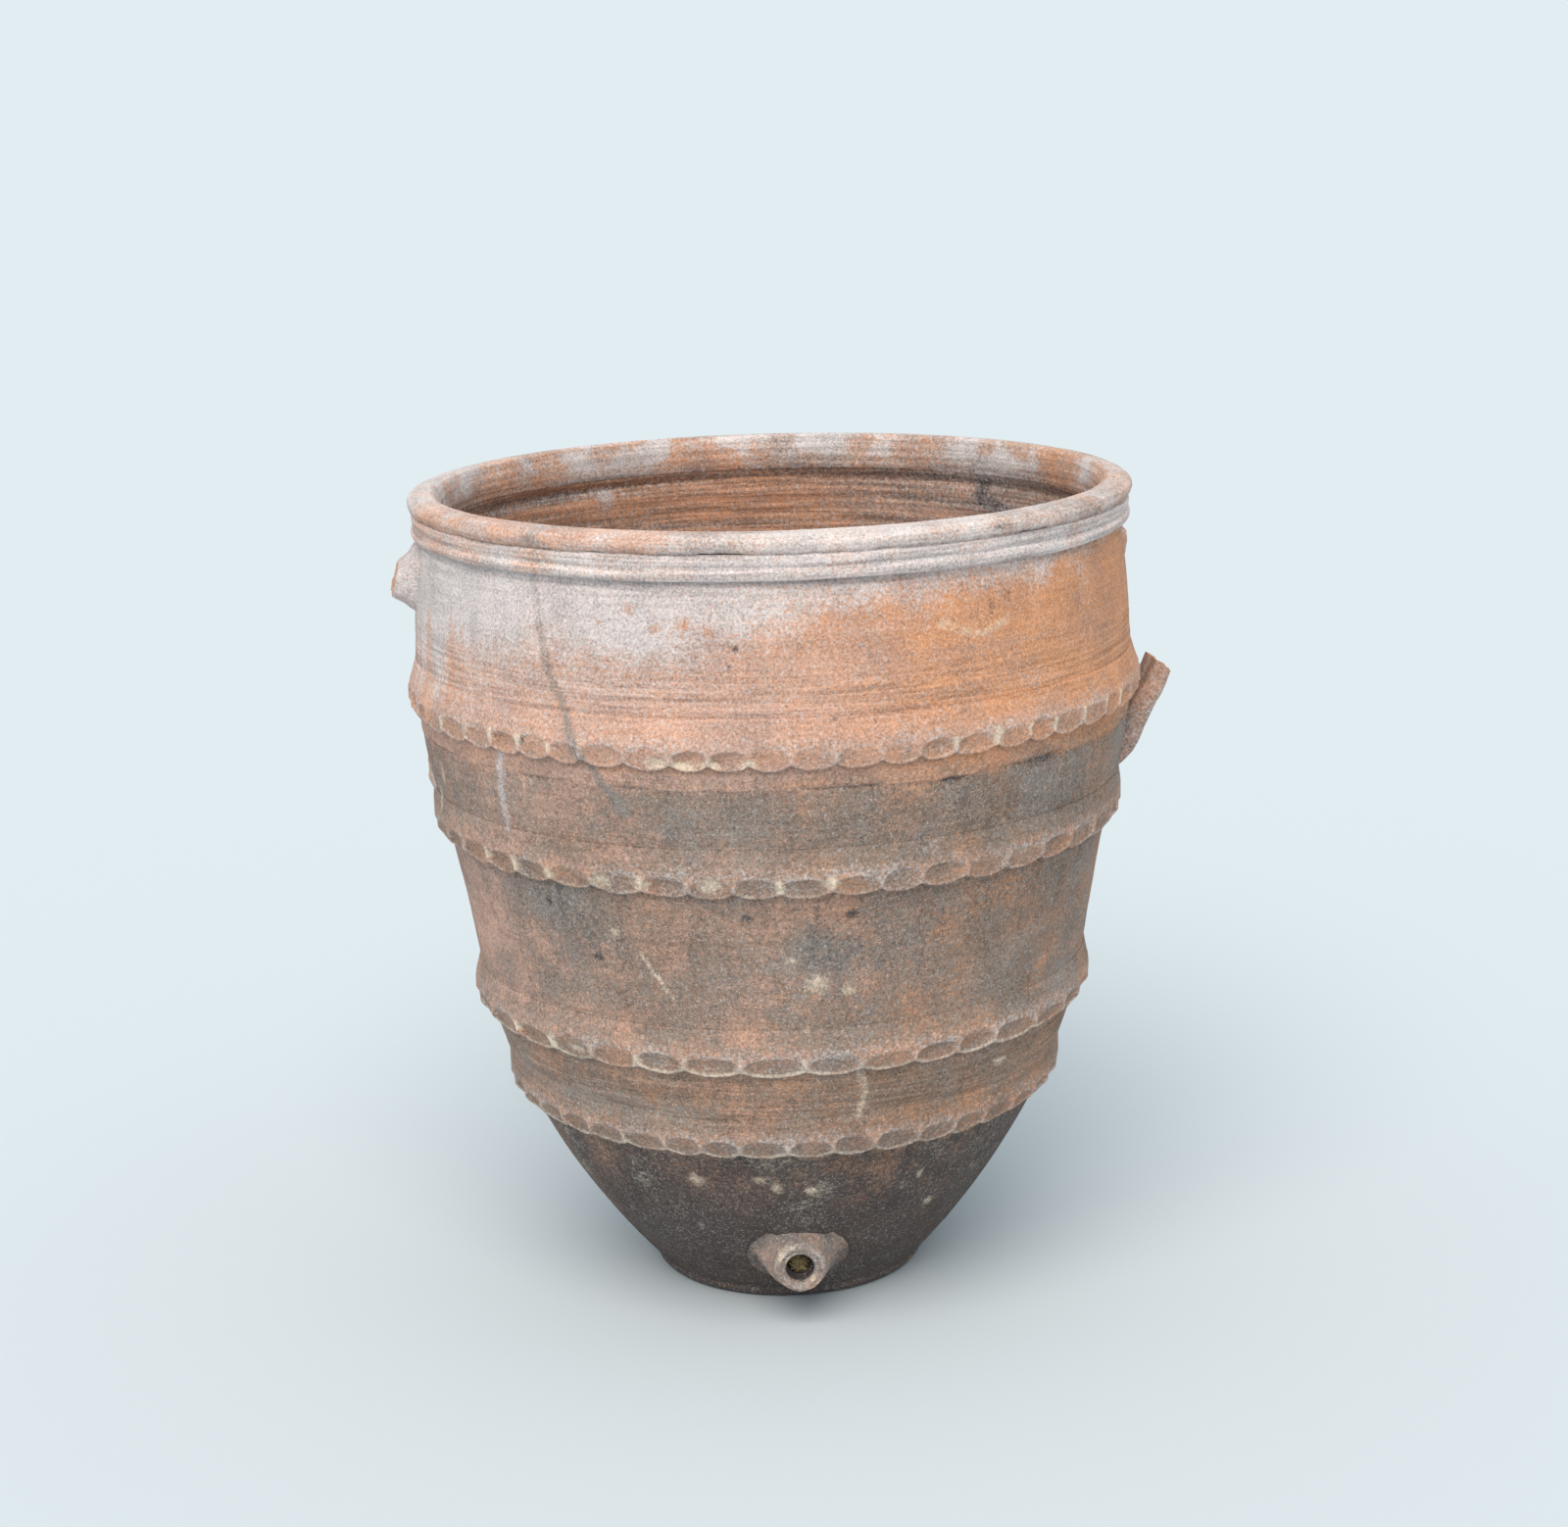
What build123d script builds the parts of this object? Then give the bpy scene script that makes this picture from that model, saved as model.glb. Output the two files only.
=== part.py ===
# Hand-built terracotta jar: wall sections stacked and lapped, thumb-pressed cordons over the
# laps, a collar and a folded rim, a drain nozzle at the foot, and the roots of two broken handles.
# Origin: centre of the underside. +Z is up, and the drain faces -Y. Lengths are in millimetres.
import os
from math import atan2, cos, degrees, hypot, radians, sin, sqrt

from build123d import *

# Wall sections from the ground up: what each adds to the height, and its outer radius at the top
base_radius = 101.0
base_corner = 9.0  # height of the rounded corner under the first coil
foot_height = 147.0
foot_top_radius = 197.0
foot_bulge = 7.0
lower_height = 72.0
lower_top_radius = 221.0
lower_bulge = 1.5
middle_height = 130.0
middle_top_radius = 244.0
middle_bulge = -1.5
upper_height = 64.0
upper_top_radius = 256.5
upper_bulge = 1.5
shoulder_height = 141.0
neck_radius = 250.0
shoulder_bulge = 4.5
wall = 13.0  # measured level, so the sloping foot is thicker through
lap = 10.0  # a lapped joint climbs this much from its outer to its inner edge
floor_thickness = 17.0

# Rim and collar
rim_height = 28.0
lip_height = 13.5  # the part of the rim that folds over the collar
lip_overhang = 10.0
lip_undercut = 6.0
mouth_radius = 237.0
mouth_crown = 1.5  # how far the rim's inner face swells into the mouth
mouth_edge = 5.0  # rounding between the inner face and the top
crown_width = 8.0
crown_fall = 1.0
collar_height = 18.0
collar_proud = 8.0
collar_edge_proud = 5.9

# Cordons, a rope of clay pressed over each joint with the thumb
cordon_height = 34.0
cordon_proud = 7.5
cordon_crest = 12.0  # height of the crest above the lower edge
cordon_lip = 3.5  # thickness left along the lower edge
cordon_feather = 1.2  # thickness left along the upper edge
cordon_hollow = 0.5  # how far the smoothed upper slope dips
belly_height = 4.2  # widest part of the rounding under the crest, above the lower edge
belly_proud = 6.0
thumb_radius = 21.5
thumb_depth = 4.5
thumb_height = 9.0  # middle of a print above the lower edge
scallop = 3.2  # how far the lower edge rises between two prints
scallop_share = 0.9  # of the way from one print to the next that a rise takes up
scallop_rise = 1.0  # halfway along its flank
foot_cordon_drop = 10.5  # each lower edge lies this much under its joint
lower_cordon_drop = 14.5
middle_cordon_drop = 12.0
shoulder_cordon_drop = -14.5  # this one sits above its joint, which shows
foot_prints = 42
lower_prints = 37
middle_prints = 47
shoulder_prints = 58

# Drain nozzle, level, let into the foot wall
drain_height = 47.5
drain_reach = 160.0  # from the jar's axis to the nozzle's face
nozzle_face_radius = 18.0
nozzle_root_radius = 35.0
nozzle_edge = 2.5
spigot_radius = 15.0
socket_radius = 10.0
socket_depth = 12.0
throat_radius = 8.5
wad_length = 20.0
wad_clearance = 0.3
wad_rounding = 1.5

# Broken handles: a strap stood on each side of the jar, across the drain's line
handle_turn = 4.5  # degrees from the X axis
strap_width = 42.0
strap_thickness = 20.5
root_spread = 14.0  # how much wider the clay is where it was smeared on the wall
upper_root_height = 54.0
upper_root_drop = 2.0  # from the collar down to the root
upper_stub_reach = 17.0  # from the wall to the middle of the broken end
upper_stub_thickness = 25.0
upper_stub_tilt = 14.0
lower_root_height = 48.0
lower_root_lift = 25.0  # middle of the root above the middle joint
strap_elbow = (25.5, 50.0, 51.0)  # out from the middle joint, above it, degrees above level
strap_bend = (36.7, 67.5, 64.0)
strap_end = (43.4, 83.3, 45.0)
scar_height = 33.0
scar_lift = 28.0
scar_proud = 5.5
scar_rise = 7.0  # the torn face lies this much above the middle of the root
scar_face_height = 11.0

base_joint = (base_radius, base_corner)
foot_joint = (foot_top_radius, base_joint[1] + foot_height)
lower_joint = (lower_top_radius, foot_joint[1] + lower_height)
middle_joint = (middle_top_radius, lower_joint[1] + middle_height)
upper_joint = (upper_top_radius, middle_joint[1] + upper_height)
neck = (neck_radius, upper_joint[1] + shoulder_height)
jar_height = neck[1] + rim_height
collar_top = jar_height - lip_height
collar_bottom = collar_top - collar_height

# Lower end, upper end and bulge of each section's outer face, as (radius, height)
sections = {
    "foot_wall": (base_joint, foot_joint, foot_bulge),
    "lower_wall": (foot_joint, lower_joint, lower_bulge),
    "middle_wall": (lower_joint, middle_joint, middle_bulge),
    "upper_wall": (middle_joint, upper_joint, upper_bulge),
    "shoulder_wall": (upper_joint, neck, shoulder_bulge),
}
# Lower edge and number of thumb prints of each cordon
cordons = {
    "foot_cordon": (foot_joint[1] - foot_cordon_drop, foot_prints),
    "lower_cordon": (lower_joint[1] - lower_cordon_drop, lower_prints),
    "middle_cordon": (middle_joint[1] - middle_cordon_drop, middle_prints),
    "shoulder_cordon": (upper_joint[1] - shoulder_cordon_drop, shoulder_prints),
}
inner_floor_edge = (base_radius - wall, floor_thickness)


def crown_point(low, high, bulge):
    # Middle of a shallow arc that swells outwards from the line between its ends
    run, rise = high[0] - low[0], high[1] - low[1]
    length = hypot(run, rise)
    middle = ((low[0] + high[0]) / 2, (low[1] + high[1]) / 2)
    return (middle[0] + bulge * rise / length, middle[1] - bulge * run / length)


def swelling(low, high, bulge):
    return ThreePointArc(low, crown_point(low, high, bulge), high)


def radius_at(height):
    # Outer radius of the wall at a height, from the arc of the section that holds it
    low, high, bulge = next(s for s in sections.values() if height <= s[1][1])
    half = hypot(high[0] - low[0], high[1] - low[1]) / 2
    arc_radius = (half * half + bulge * bulge) / (2 * bulge)
    crown = crown_point(low, high, bulge)
    centre_radius = crown[0] - arc_radius * (high[1] - low[1]) / (2 * half)
    centre_height = crown[1] + arc_radius * (high[0] - low[0]) / (2 * half)
    reach = sqrt(arc_radius**2 - (height - centre_height) ** 2)
    return centre_radius + (reach if bulge > 0 else -reach)


def inner_end(joint):
    # A lapped joint's inner edge. The first coil stands on the floor, and the neck is cut level.
    if joint == base_joint:
        return inner_floor_edge
    return (joint[0] - wall, joint[1] + (0 if joint == neck else lap))


def turned(*edges):
    # Solid of revolution about the jar's axis. The edges are drawn as (radius, height).
    return revolve(Plane.XZ * make_face(list(edges)), Axis.Z)


def underside():
    # Flat base and rounded corner, from the axis to the first joint
    flat = (base_radius - base_corner, 0)
    slant = base_corner * sin(radians(45))
    bend = (flat[0] + slant, base_corner - slant)
    return Line((0, 0), flat), ThreePointArc(flat, bend, base_joint)


def jar_outside():
    # The whole outer form up to the neck, filled, to fit the added pieces against
    walls = [swelling(*section) for section in sections.values()]
    return turned(*underside(), *walls, Polyline(neck, (0, neck[1]), (0, 0)))


def jar_inside():
    # The hollow, up to the neck
    walls = [swelling(inner_end(low), inner_end(high), out) for low, high, out in sections.values()]
    top, bottom = inner_end(neck), inner_end(base_joint)
    return turned(*walls, Polyline(top, (0, top[1]), (0, bottom[1]), bottom))


def base_floor():
    bottom = inner_end(base_joint)
    return turned(*underside(), Polyline(base_joint, bottom, (0, bottom[1]), (0, 0)))


def wall_section(low, high, bulge):
    return turned(
        swelling(low, high, bulge),
        Line(high, inner_end(high)),
        swelling(inner_end(low), inner_end(high), bulge),
        Line(inner_end(low), low),
    )


def rim_roll():
    seat = neck[1]
    inner = inner_end(neck)
    inner_top = (mouth_radius + 1, jar_height - mouth_edge)
    swell = (mouth_radius - mouth_crown, (seat + inner_top[1]) / 2)
    slant = mouth_edge * (1 - sin(radians(45)))
    crown_in = (inner_top[0] + mouth_edge, jar_height)
    crown_out = (crown_in[0] + crown_width, jar_height - crown_fall)
    lip_out = (neck_radius + lip_overhang, jar_height - lip_height / 2)
    lip_root = (neck_radius + lip_overhang - lip_undercut, collar_top)
    return turned(
        ThreePointArc(inner, swell, inner_top),
        ThreePointArc(inner_top, (inner_top[0] + slant, jar_height - slant), crown_in),
        Line(crown_in, crown_out),
        ThreePointArc(crown_out, lip_out, lip_root),
        Polyline(lip_root, (neck_radius, collar_top), (neck_radius, seat), inner),
    )


def neck_collar(outside, rim):
    buried = neck_radius - wall / 2
    lower = (neck_radius + collar_edge_proud, collar_bottom)
    upper = (neck_radius + collar_edge_proud, collar_top)
    crest = (neck_radius + collar_proud, (collar_bottom + collar_top) / 2)
    band = turned(
        ThreePointArc(lower, crest, upper),
        Polyline(upper, (buried, collar_top), (buried, collar_bottom), lower),
    )
    return band - outside - rim


def thumb_cap(out, height):
    # A shallow dish, as the part of a ball that dips into the rope
    side = 2 * thumb_radius
    cap = Sphere(thumb_radius) & Pos(-thumb_radius, 0, 0) * Box(2 * thumb_depth + 1, side, side)
    return Pos(out + thumb_radius - thumb_depth, 0, height) * cap


def scallop_notch(out, buried, low, pitch):
    # What is missing between two of the lobes that the thumb pushed out along the lower edge
    reach = scallop_share * radians(pitch) * out / 2
    notch = make_face(
        [
            ThreePointArc((-reach, 0), (-reach / 2, scallop_rise), (0, scallop)),
            ThreePointArc((0, scallop), (reach / 2, scallop_rise), (reach, 0)),
            Polyline((reach, 0), (reach, -wall), (-reach, -wall), (-reach, 0)),
        ]
    )
    return Pos(buried, 0, low) * extrude(Plane.YZ * notch, out - buried + wall)


def repeated_ring(wedge, pitch, count):
    # Joins equal wedges into one ring, without the flat faces where they meet
    skin = []
    for face in wedge.faces():
        middle = face.center()
        turn = degrees(atan2(middle.Y, middle.X))
        if face.geom_type != GeomType.PLANE or abs(abs(turn) - pitch / 2) > 0.001 * pitch:
            skin.append(face)
    return Solid(Shell([Rot(0, 0, step * pitch) * face for step in range(count) for face in skin]))


def cordon(outside, low, prints):
    # Smoothed up the wall, thumb-pressed on the lower half, with a scalloped lower edge
    pitch = 360 / prints
    crest = low + cordon_crest
    top = low + cordon_height
    buried = radius_at(low) - wall / 2
    low_edge = (radius_at(low) + cordon_lip, low)
    belly = (radius_at(low) + belly_proud, low + belly_height)
    crest_edge = (radius_at(crest) + cordon_proud, crest)
    top_edge = (radius_at(top) + cordon_feather, top)
    slope = ((crest_edge[0] + top_edge[0]) / 2 - cordon_hollow, (crest + top) / 2)
    outline = make_face(
        [
            ThreePointArc(low_edge, belly, crest_edge),
            ThreePointArc(crest_edge, slope, top_edge),
            Polyline(top_edge, (buried, top), (buried, low), low_edge),
        ]
    )
    wedge = Rot(0, 0, -pitch / 2) * revolve(Plane.XZ * outline, Axis.Z, pitch)
    notch = scallop_notch(crest_edge[0], buried, low, pitch)
    notches = [Rot(0, 0, side * pitch / 2) * notch for side in (-1, 1)]
    pressed = wedge - thumb_cap(crest_edge[0], low + thumb_height) - notches
    return repeated_ring(pressed, pitch, prints) - outside


def along_drain(shape):
    # Stands a shape on the nozzle's face, with its own Z axis pointing into the jar
    return Plane(origin=(0, -drain_reach, drain_height), x_dir=(1, 0, 0), z_dir=(0, 1, 0)) * shape


def drain_rod(radius, start, length):
    return along_drain(Pos(0, 0, start + length / 2) * Cylinder(radius, length))


def outlet_nozzle(outside, hollow):
    # A squat spout whose root lies along the sloping wall, on a spigot that goes through it
    step = 1.0
    slope = (radius_at(drain_height + step) - radius_at(drain_height - step)) / (2 * step)
    out = Vector(0, -1, -slope).normalized()
    foot = Vector(0, -radius_at(drain_height), drain_height) - out * (wall / 2)
    root = Plane(origin=foot, x_dir=(1, 0, 0), z_dir=-out) * Circle(nozzle_root_radius)
    mouth = along_drain(Circle(nozzle_face_radius))
    spout = loft([mouth, root], ruled=True)
    spout = fillet(spout.edges().sort_by(Axis.Y)[0], nozzle_edge)
    spigot = (drain_rod(spigot_radius, 0, drain_reach) & outside) - hollow
    bore = drain_rod(throat_radius, 0, drain_reach) + drain_rod(socket_radius, -1, socket_depth + 1)
    return (spout - outside) + spigot - bore


def outlet_wad():
    rod = drain_rod(throat_radius - wad_clearance, socket_depth + wad_clearance, wad_length)
    return fillet(rod.edges().filter_by(GeomType.CIRCLE), wad_rounding)


def strap_section(out, height, tilt, width, thickness):
    # Oval cut across a strap that stands over the +X side of the wall
    ahead = (cos(radians(tilt)), 0, sin(radians(tilt)))
    across = Plane(origin=(out, 0, height), x_dir=(0, 1, 0), z_dir=ahead)
    return across * Ellipse(width / 2, thickness / 2)


def wall_root(height, size):
    # A strap's root starts inside the wall, so that the wall can trim it all round
    return strap_section(radius_at(height) - wall / 2, height, 0, strap_width + root_spread, size)


def upper_stub():
    height = collar_bottom - upper_root_drop - upper_root_height / 2
    out = radius_at(height) + upper_stub_reach
    torn = strap_section(out, height, upper_stub_tilt, strap_width, upper_stub_thickness)
    return loft([wall_root(height, upper_root_height), torn], ruled=True)


def lower_stub():
    # The strap leaves the wall steeply upwards and is broken off across
    foot = middle_joint[1]
    root = wall_root(foot + lower_root_lift, lower_root_height)
    stations = [
        strap_section(middle_top_radius + out, foot + up, tilt, strap_width, strap_thickness)
        for out, up, tilt in (strap_elbow, strap_bend, strap_end)
    ]
    return loft([root, *stations])


def torn_root(height):
    # All that is left of a root: a low mound with a torn face
    root = wall_root(height, scar_height)
    out = radius_at(height + scar_rise) + scar_proud
    face = strap_section(out, height + scar_rise, 0, strap_width - root_spread, scar_face_height)
    return loft([root, face], ruled=True)


def build():
    outside = jar_outside()
    hollow = jar_inside()
    parts = {"base_floor": base_floor()}
    for name, section in sections.items():
        parts[name] = wall_section(*section)
    parts["foot_wall"] -= drain_rod(spigot_radius, 0, drain_reach)
    parts["rim_roll"] = rim_roll()
    parts["neck_collar"] = neck_collar(outside, parts["rim_roll"])
    for name, (low, prints) in cordons.items():
        parts[name] = cordon(outside, low, prints)
    parts["outlet_nozzle"] = outlet_nozzle(outside, hollow)
    parts["outlet_wad"] = outlet_wad()
    left, right = Rot(0, 0, 180 + handle_turn), Rot(0, 0, handle_turn)
    upper_root = collar_bottom - upper_root_drop - upper_root_height / 2
    lower_root = middle_joint[1] + scar_lift
    band = parts["middle_cordon"]
    parts["left_handle_upper_stub"] = left * upper_stub() - outside
    parts["left_handle_lower_scar"] = left * torn_root(lower_root) - outside - band
    parts["right_handle_upper_scar"] = right * torn_root(upper_root) - outside
    parts["right_handle_lower_stub"] = right * lower_stub() - outside - band
    return parts


os.makedirs("parts", exist_ok=True)
for name, shape in build().items():
    export_step(shape, f"parts/{name}.step")
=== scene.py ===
import math

import bpy
import numpy as np
from mathutils import Matrix, Vector


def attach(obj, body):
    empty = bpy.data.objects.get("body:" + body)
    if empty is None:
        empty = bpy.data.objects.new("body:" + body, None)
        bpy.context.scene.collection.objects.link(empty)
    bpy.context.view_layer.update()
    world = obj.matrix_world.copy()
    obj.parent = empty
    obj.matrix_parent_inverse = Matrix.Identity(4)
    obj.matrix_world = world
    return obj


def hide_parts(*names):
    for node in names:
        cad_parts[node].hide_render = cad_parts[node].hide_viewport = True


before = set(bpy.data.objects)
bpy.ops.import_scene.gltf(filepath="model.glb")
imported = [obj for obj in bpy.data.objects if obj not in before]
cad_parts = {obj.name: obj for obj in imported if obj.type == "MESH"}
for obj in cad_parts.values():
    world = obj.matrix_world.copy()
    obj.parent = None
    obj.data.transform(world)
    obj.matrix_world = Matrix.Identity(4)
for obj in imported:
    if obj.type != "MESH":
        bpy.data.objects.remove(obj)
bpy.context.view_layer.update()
mm = 0.001
print("frame loaded")

# Lengths are in millimetres until a mesh is made. An azimuth is in radians from the drain
# spout (-Y) towards +X, so the front is 0, the right handle 94.5 degrees and the left -85.5.
jar = {
    "joints": [(101, 9), (197, 156), (221, 228), (244, 358), (256.5, 422), (250, 563)],
    "bulges": [7, 1.5, -1.5, 1.5, 4.5],
    "sections": ["foot_wall", "lower_wall", "middle_wall", "upper_wall", "shoulder_wall"],
    "wall": 13,
    "lap": 10,
    "floorThickness": 17,
    "corner": 9,
    "columns": 768,  # points round each ring, about 2 mm apart at the belly
    "rowStep": 2.2,
    "insideStep": 2.4,
}


def arcPoints(low, high, bulge, count=160):  # shallow arc between two points of the profile
    low, high = np.array(low, float), np.array(high, float)
    span = high - low
    length = math.hypot(*span)
    along = np.linspace(-length / 2, length / 2, count)
    radius = (length**2 / 4 + bulge**2) / (2 * abs(bulge))
    out = np.sign(bulge) * (np.sqrt(radius**2 - along**2) - radius) + bulge
    sideways = np.array([span[1], -span[0]]) / length
    return (low + high) / 2 + np.outer(along, span / length) + np.outer(out, sideways)


def innerEnd(joint):
    if joint == jar["joints"][0]:
        return (joint[0] - jar["wall"], jar["floorThickness"])
    return (joint[0] - jar["wall"], joint[1] + (0 if joint == jar["joints"][-1] else jar["lap"]))


pairs = list(zip(jar["joints"], jar["joints"][1:], jar["bulges"]))
outerLine = np.vstack([arcPoints(*pair) for pair in pairs])
innerLine = np.vstack([arcPoints(innerEnd(low), innerEnd(high), bulge) for low, high, bulge in pairs])


def outerAt(height):
    return np.interp(height, outerLine[:, 1], outerLine[:, 0])


def innerAt(height):
    return np.interp(height, innerLine[:, 1], innerLine[:, 0])


def lattice(i, j, k, seed):  # a repeatable random number from -1 to 1 for each whole-numbered point
    mixed = (i * 374761393 + j * 668265263 + k * 1440662683 + seed * 1013904223) & 0xFFFFFFFF
    mixed = ((mixed ^ (mixed >> 13)) * 1274126177) & 0xFFFFFFFF
    return ((mixed ^ (mixed >> 16)) & 0xFFFF) / 32767.5 - 1


toneNames = ("warm", "soilAndShade", "ash", "dark", "lime", "cream", "wiped")


def toneSet(*values):
    return {tone: value + 0 * values[0] for tone, value in zip(toneNames, values)}


tilt = np.array(Matrix.Rotation(0.9, 3, Vector((0.48, 0.6, 0.64))))  # turns even noise off the axes


def cloud(points, size, seed, octaves=1):  # soft noise with lumps of that size in mm, about -1 to 1
    total, strength, most = 0.0, 1.0, 0.0
    points = points @ tilt if np.ndim(size) == 0 else points
    for octave in range(octaves):
        place = points / size * 2**octave + seed * 7.31
        cell = np.floor(place).astype(np.int64)
        share = place - cell
        share = share * share * (3 - 2 * share)
        i, j, k = cell[..., 0], cell[..., 1], cell[..., 2]
        u, v, w = share[..., 0], share[..., 1], share[..., 2]
        layers = []
        for up in (0, 1):
            rows = []
            for side in (0, 1):
                left = lattice(i, j + side, k + up, seed + octave)
                right = lattice(i + 1, j + side, k + up, seed + octave)
                rows.append(left + (right - left) * u)
            layers.append(rows[0] + (rows[1] - rows[0]) * v)
        total = total + strength * (layers[0] + (layers[1] - layers[0]) * w)
        most += strength
        strength *= 0.5
    return total / most * (1.6 if octaves > 1 else 1.2)


def around(azimuth, radius, height):
    return np.stack((radius * np.sin(azimuth), -radius * np.cos(azimuth), height + 0 * azimuth), -1)


def turns(count):  # azimuths round the jar, starting at the back
    return np.linspace(-math.pi, math.pi, count, endpoint=False)


def circle(count):  # angles round a small section
    return np.linspace(0, 2 * math.pi, count, endpoint=False)


def outwardAt(turn):
    return np.array([math.sin(turn), -math.cos(turn), 0])


def ease(value, low, high):
    share = np.clip((value - low) / (high - low), 0, 1)
    return share * share * (3 - 2 * share)


def bell(value, width):  # 1 at zero, falling away on both sides
    return np.exp(-((value / width) ** 2))


def spot(azimuth, height, mark):  # 1 in the middle of a mark (azimuth, height, half width, half height), 0 outside it
    turn = (azimuth - math.radians(mark[0]) + math.pi) % (2 * math.pi) - math.pi
    across = turn * outerAt(height) / mark[2]
    return np.clip(1.25 - np.hypot(across, (height - mark[1]) / mark[3]), 0, 1)


def streak(azimuth, height, path, width):  # 1 along a path of (azimuth, height) points, 0 beyond its width
    best = np.full(np.broadcast(azimuth, height).shape, 1e9)
    for (turnA, lowA), (turnB, lowB) in zip(path, path[1:]):
        radius = outerAt((lowA + lowB) / 2)
        start = np.array([math.radians(turnA) * radius, lowA])
        along = np.array([math.radians(turnB) * radius, lowB]) - start
        acrossX, acrossZ = azimuth * radius - start[0], height - start[1]
        share = np.clip((acrossX * along[0] + acrossZ * along[1]) / (along @ along), 0, 1)
        best = np.minimum(best, np.hypot(acrossX - share * along[0], acrossZ - share * along[1]))
    return np.clip(1.4 - best / (width / 2), 0, 1)


# How the hand, the weather and use have marked the wall: azimuths in degrees, the rest in mm
wear = {
    "outOfRound": 0.6,
    "lumps": 0.32,
    "ripples": 0.14,
    "wiping": 0.34,  # depth of the lines left by a wet hand
    "pitDepth": 0.7,
    "seamHeight": 422,  # the lap that shows under the top cordon
    "seamStep": 0.9,
    "flakes": [(42.5, 421.5, 19, 6.5, 2.6), (24.5, 419.5, 9, 3.2, 1.8), (75, 367, 10, 15, 1.6), (152, 420, 14, 5, 2.0),
               (-128, 423, 11, 4, 1.6), (-8, 515, 2.6, 2.6, 1.6), (201, 300, 9, 6, 1.2)],
    "hazeEdge": [(-180, 528), (-130, 520), (-95, 500), (-70, 508), (-58, 517), (-40, 513), (-27, 517), (-15, 519),
                 (-6, 530), (6, 536), (21, 540), (30, 546), (47, 548), (60, 560), (90, 566), (120, 545), (180, 528)],
    "vein": [(-41, 558), (-39, 518), (-37.5, 493), (-35, 474), (-33, 450), (-31.5, 439), (-29.5, 426), (-25.5, 404)],
    "limeDrip": [(-48.5, 436), (-49.5, 410), (-50, 380)],
    "footDrip": [(11, 213), (12.5, 194), (11.5, 178)],
    "scratch": [(-26.5, 299), (-21.5, 268)],
    "squiggle": [(23, 526), (27, 517), (30.5, 514), (35, 522)],
    "splashes": [(3.5, 281, 9, 9), (8.5, 274.5, 7, 6), (-1, 298.5, 5, 4), (-31, 315, 5, 4), (43, 196, 9, 5),
                 (-9, 124, 6, 4), (-5, 116.5, 6, 6), (2.5, 113.5, 5, 4), (-23.5, 121, 8, 6), (29.5, 114, 3, 4),
                 (37, 82, 6, 5), (-75, 380, 5, 14), (-70, 401, 4, 12), (165, 330, 11, 8), (-140, 205, 12, 7),
                 (120, 290, 9, 10), (-165, 470, 8, 6), (140, 120, 9, 5), (-120, 90, 10, 4)],
    "limeSpots": [(-24, 541, 5, 5), (-20, 529, 4, 5), (-15.5, 532, 4, 4), (-29, 531, 3, 3), (-12, 527, 3, 3)],
    "rustSpots": [(32, 532, 5, 7), (35.5, 538, 5, 5), (-9, 505.5, 3, 3.5)],
    "blackSpots": [(-8, 515, 3.4, 3.4), (-42.5, 448, 3.5, 4), (-8, 330, 5, 3), (9, 331, 5, 3), (-35, 294, 4, 3),
                   (-44, 330, 3, 3)],
    # soft patches of each tone: (amount, azimuth, height, half width in degrees, half height)
    "patches": {
        "warm": [(0.25, -75, 470, 12, 40)],
        "soilAndShade": [(0.18, 12, 388, 30, 26), (-0.28, -68, 285, 15, 75), (-0.14, -18, 262, 16, 30),
                 (-0.35, 76, 300, 8, 50), (-0.16, -48, 410, 20, 14)],
        "ash": [(0.30, -38, 292, 11, 42), (0.34, 7, 302, 11, 26), (0.42, -50, 180, 26, 18), (0.20, -18, 396, 22, 18),
                (0.22, -45, 330, 12, 16)],
        "dark": [(0.14, 42, 330, 20, 34), (0.16, 34, 392, 26, 20), (0.22, -42, 325, 8, 26), (0.18, 8, 304, 9, 20),
                 (0.34, -4, 48, 26, 30), (-0.25, -70, 90, 12, 60)],
    },
}


def wallMarks(azimuth, height):  # how far the outer face stands off its plain profile
    spots = around(azimuth, outerAt(height), height)
    lines = cloud(spots, (70.0, 70.0, 2.6), 4) + 0.6 * cloud(spots, (50.0, 50.0, 5.5), 5)
    out = wear["outOfRound"] * cloud(spots, 170.0, 1) + wear["lumps"] * cloud(spots, 42.0, 2)
    out += wear["ripples"] * cloud(spots, 11.0, 3) + wear["wiping"] * wipedAt(height) * lines
    out -= wear["pitDepth"] * np.clip(cloud(spots, 5.0, 6) - 0.62, 0, 1) / 0.4
    seam = wear["seamHeight"] + 1.3 * cloud(spots, (26.0, 26.0, 1e6), 7) + 0.5 * cloud(spots, 7.0, 8)
    above = height - seam
    out += wear["seamStep"] * np.where(above > 0, np.exp(-np.clip(above, 0, 99) / 9), 0)
    out = out - 0.7 * bell(above + 0.8, 1.1)
    for turn, middle, width, tall, depth in wear["flakes"]:
        ragged = spot(azimuth, height, (turn, middle, width, tall)) + 0.14 * cloud(spots, 6.0, 9)
        out = out - depth * ease(ragged, 0.24, 0.42) * (0.8 + 0.2 * cloud(spots, 4.0, 10))
    out += 3.2 * spot(azimuth, height, (74.5, 368, 22, 19)) ** 2  # an old smear beside the right handle's root
    return out


def insideMarks(azimuth, height):
    spots = around(azimuth, innerAt(height), height)
    climb = height / 9.5 * 2 * math.pi + azimuth  # the throwing ridges climb one step a turn
    out = 0.42 * np.sin(climb + 1.6 * cloud(spots, 50.0, 21)) + 0.7 * cloud(spots, (90.0, 90.0, 5.0), 22)
    out += 0.9 * cloud(spots, 70.0, 23) + 2.2 * bell(height - 556, 5)
    return out * ease(-height, -563, -557) * ease(height, 17, 24)


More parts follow.
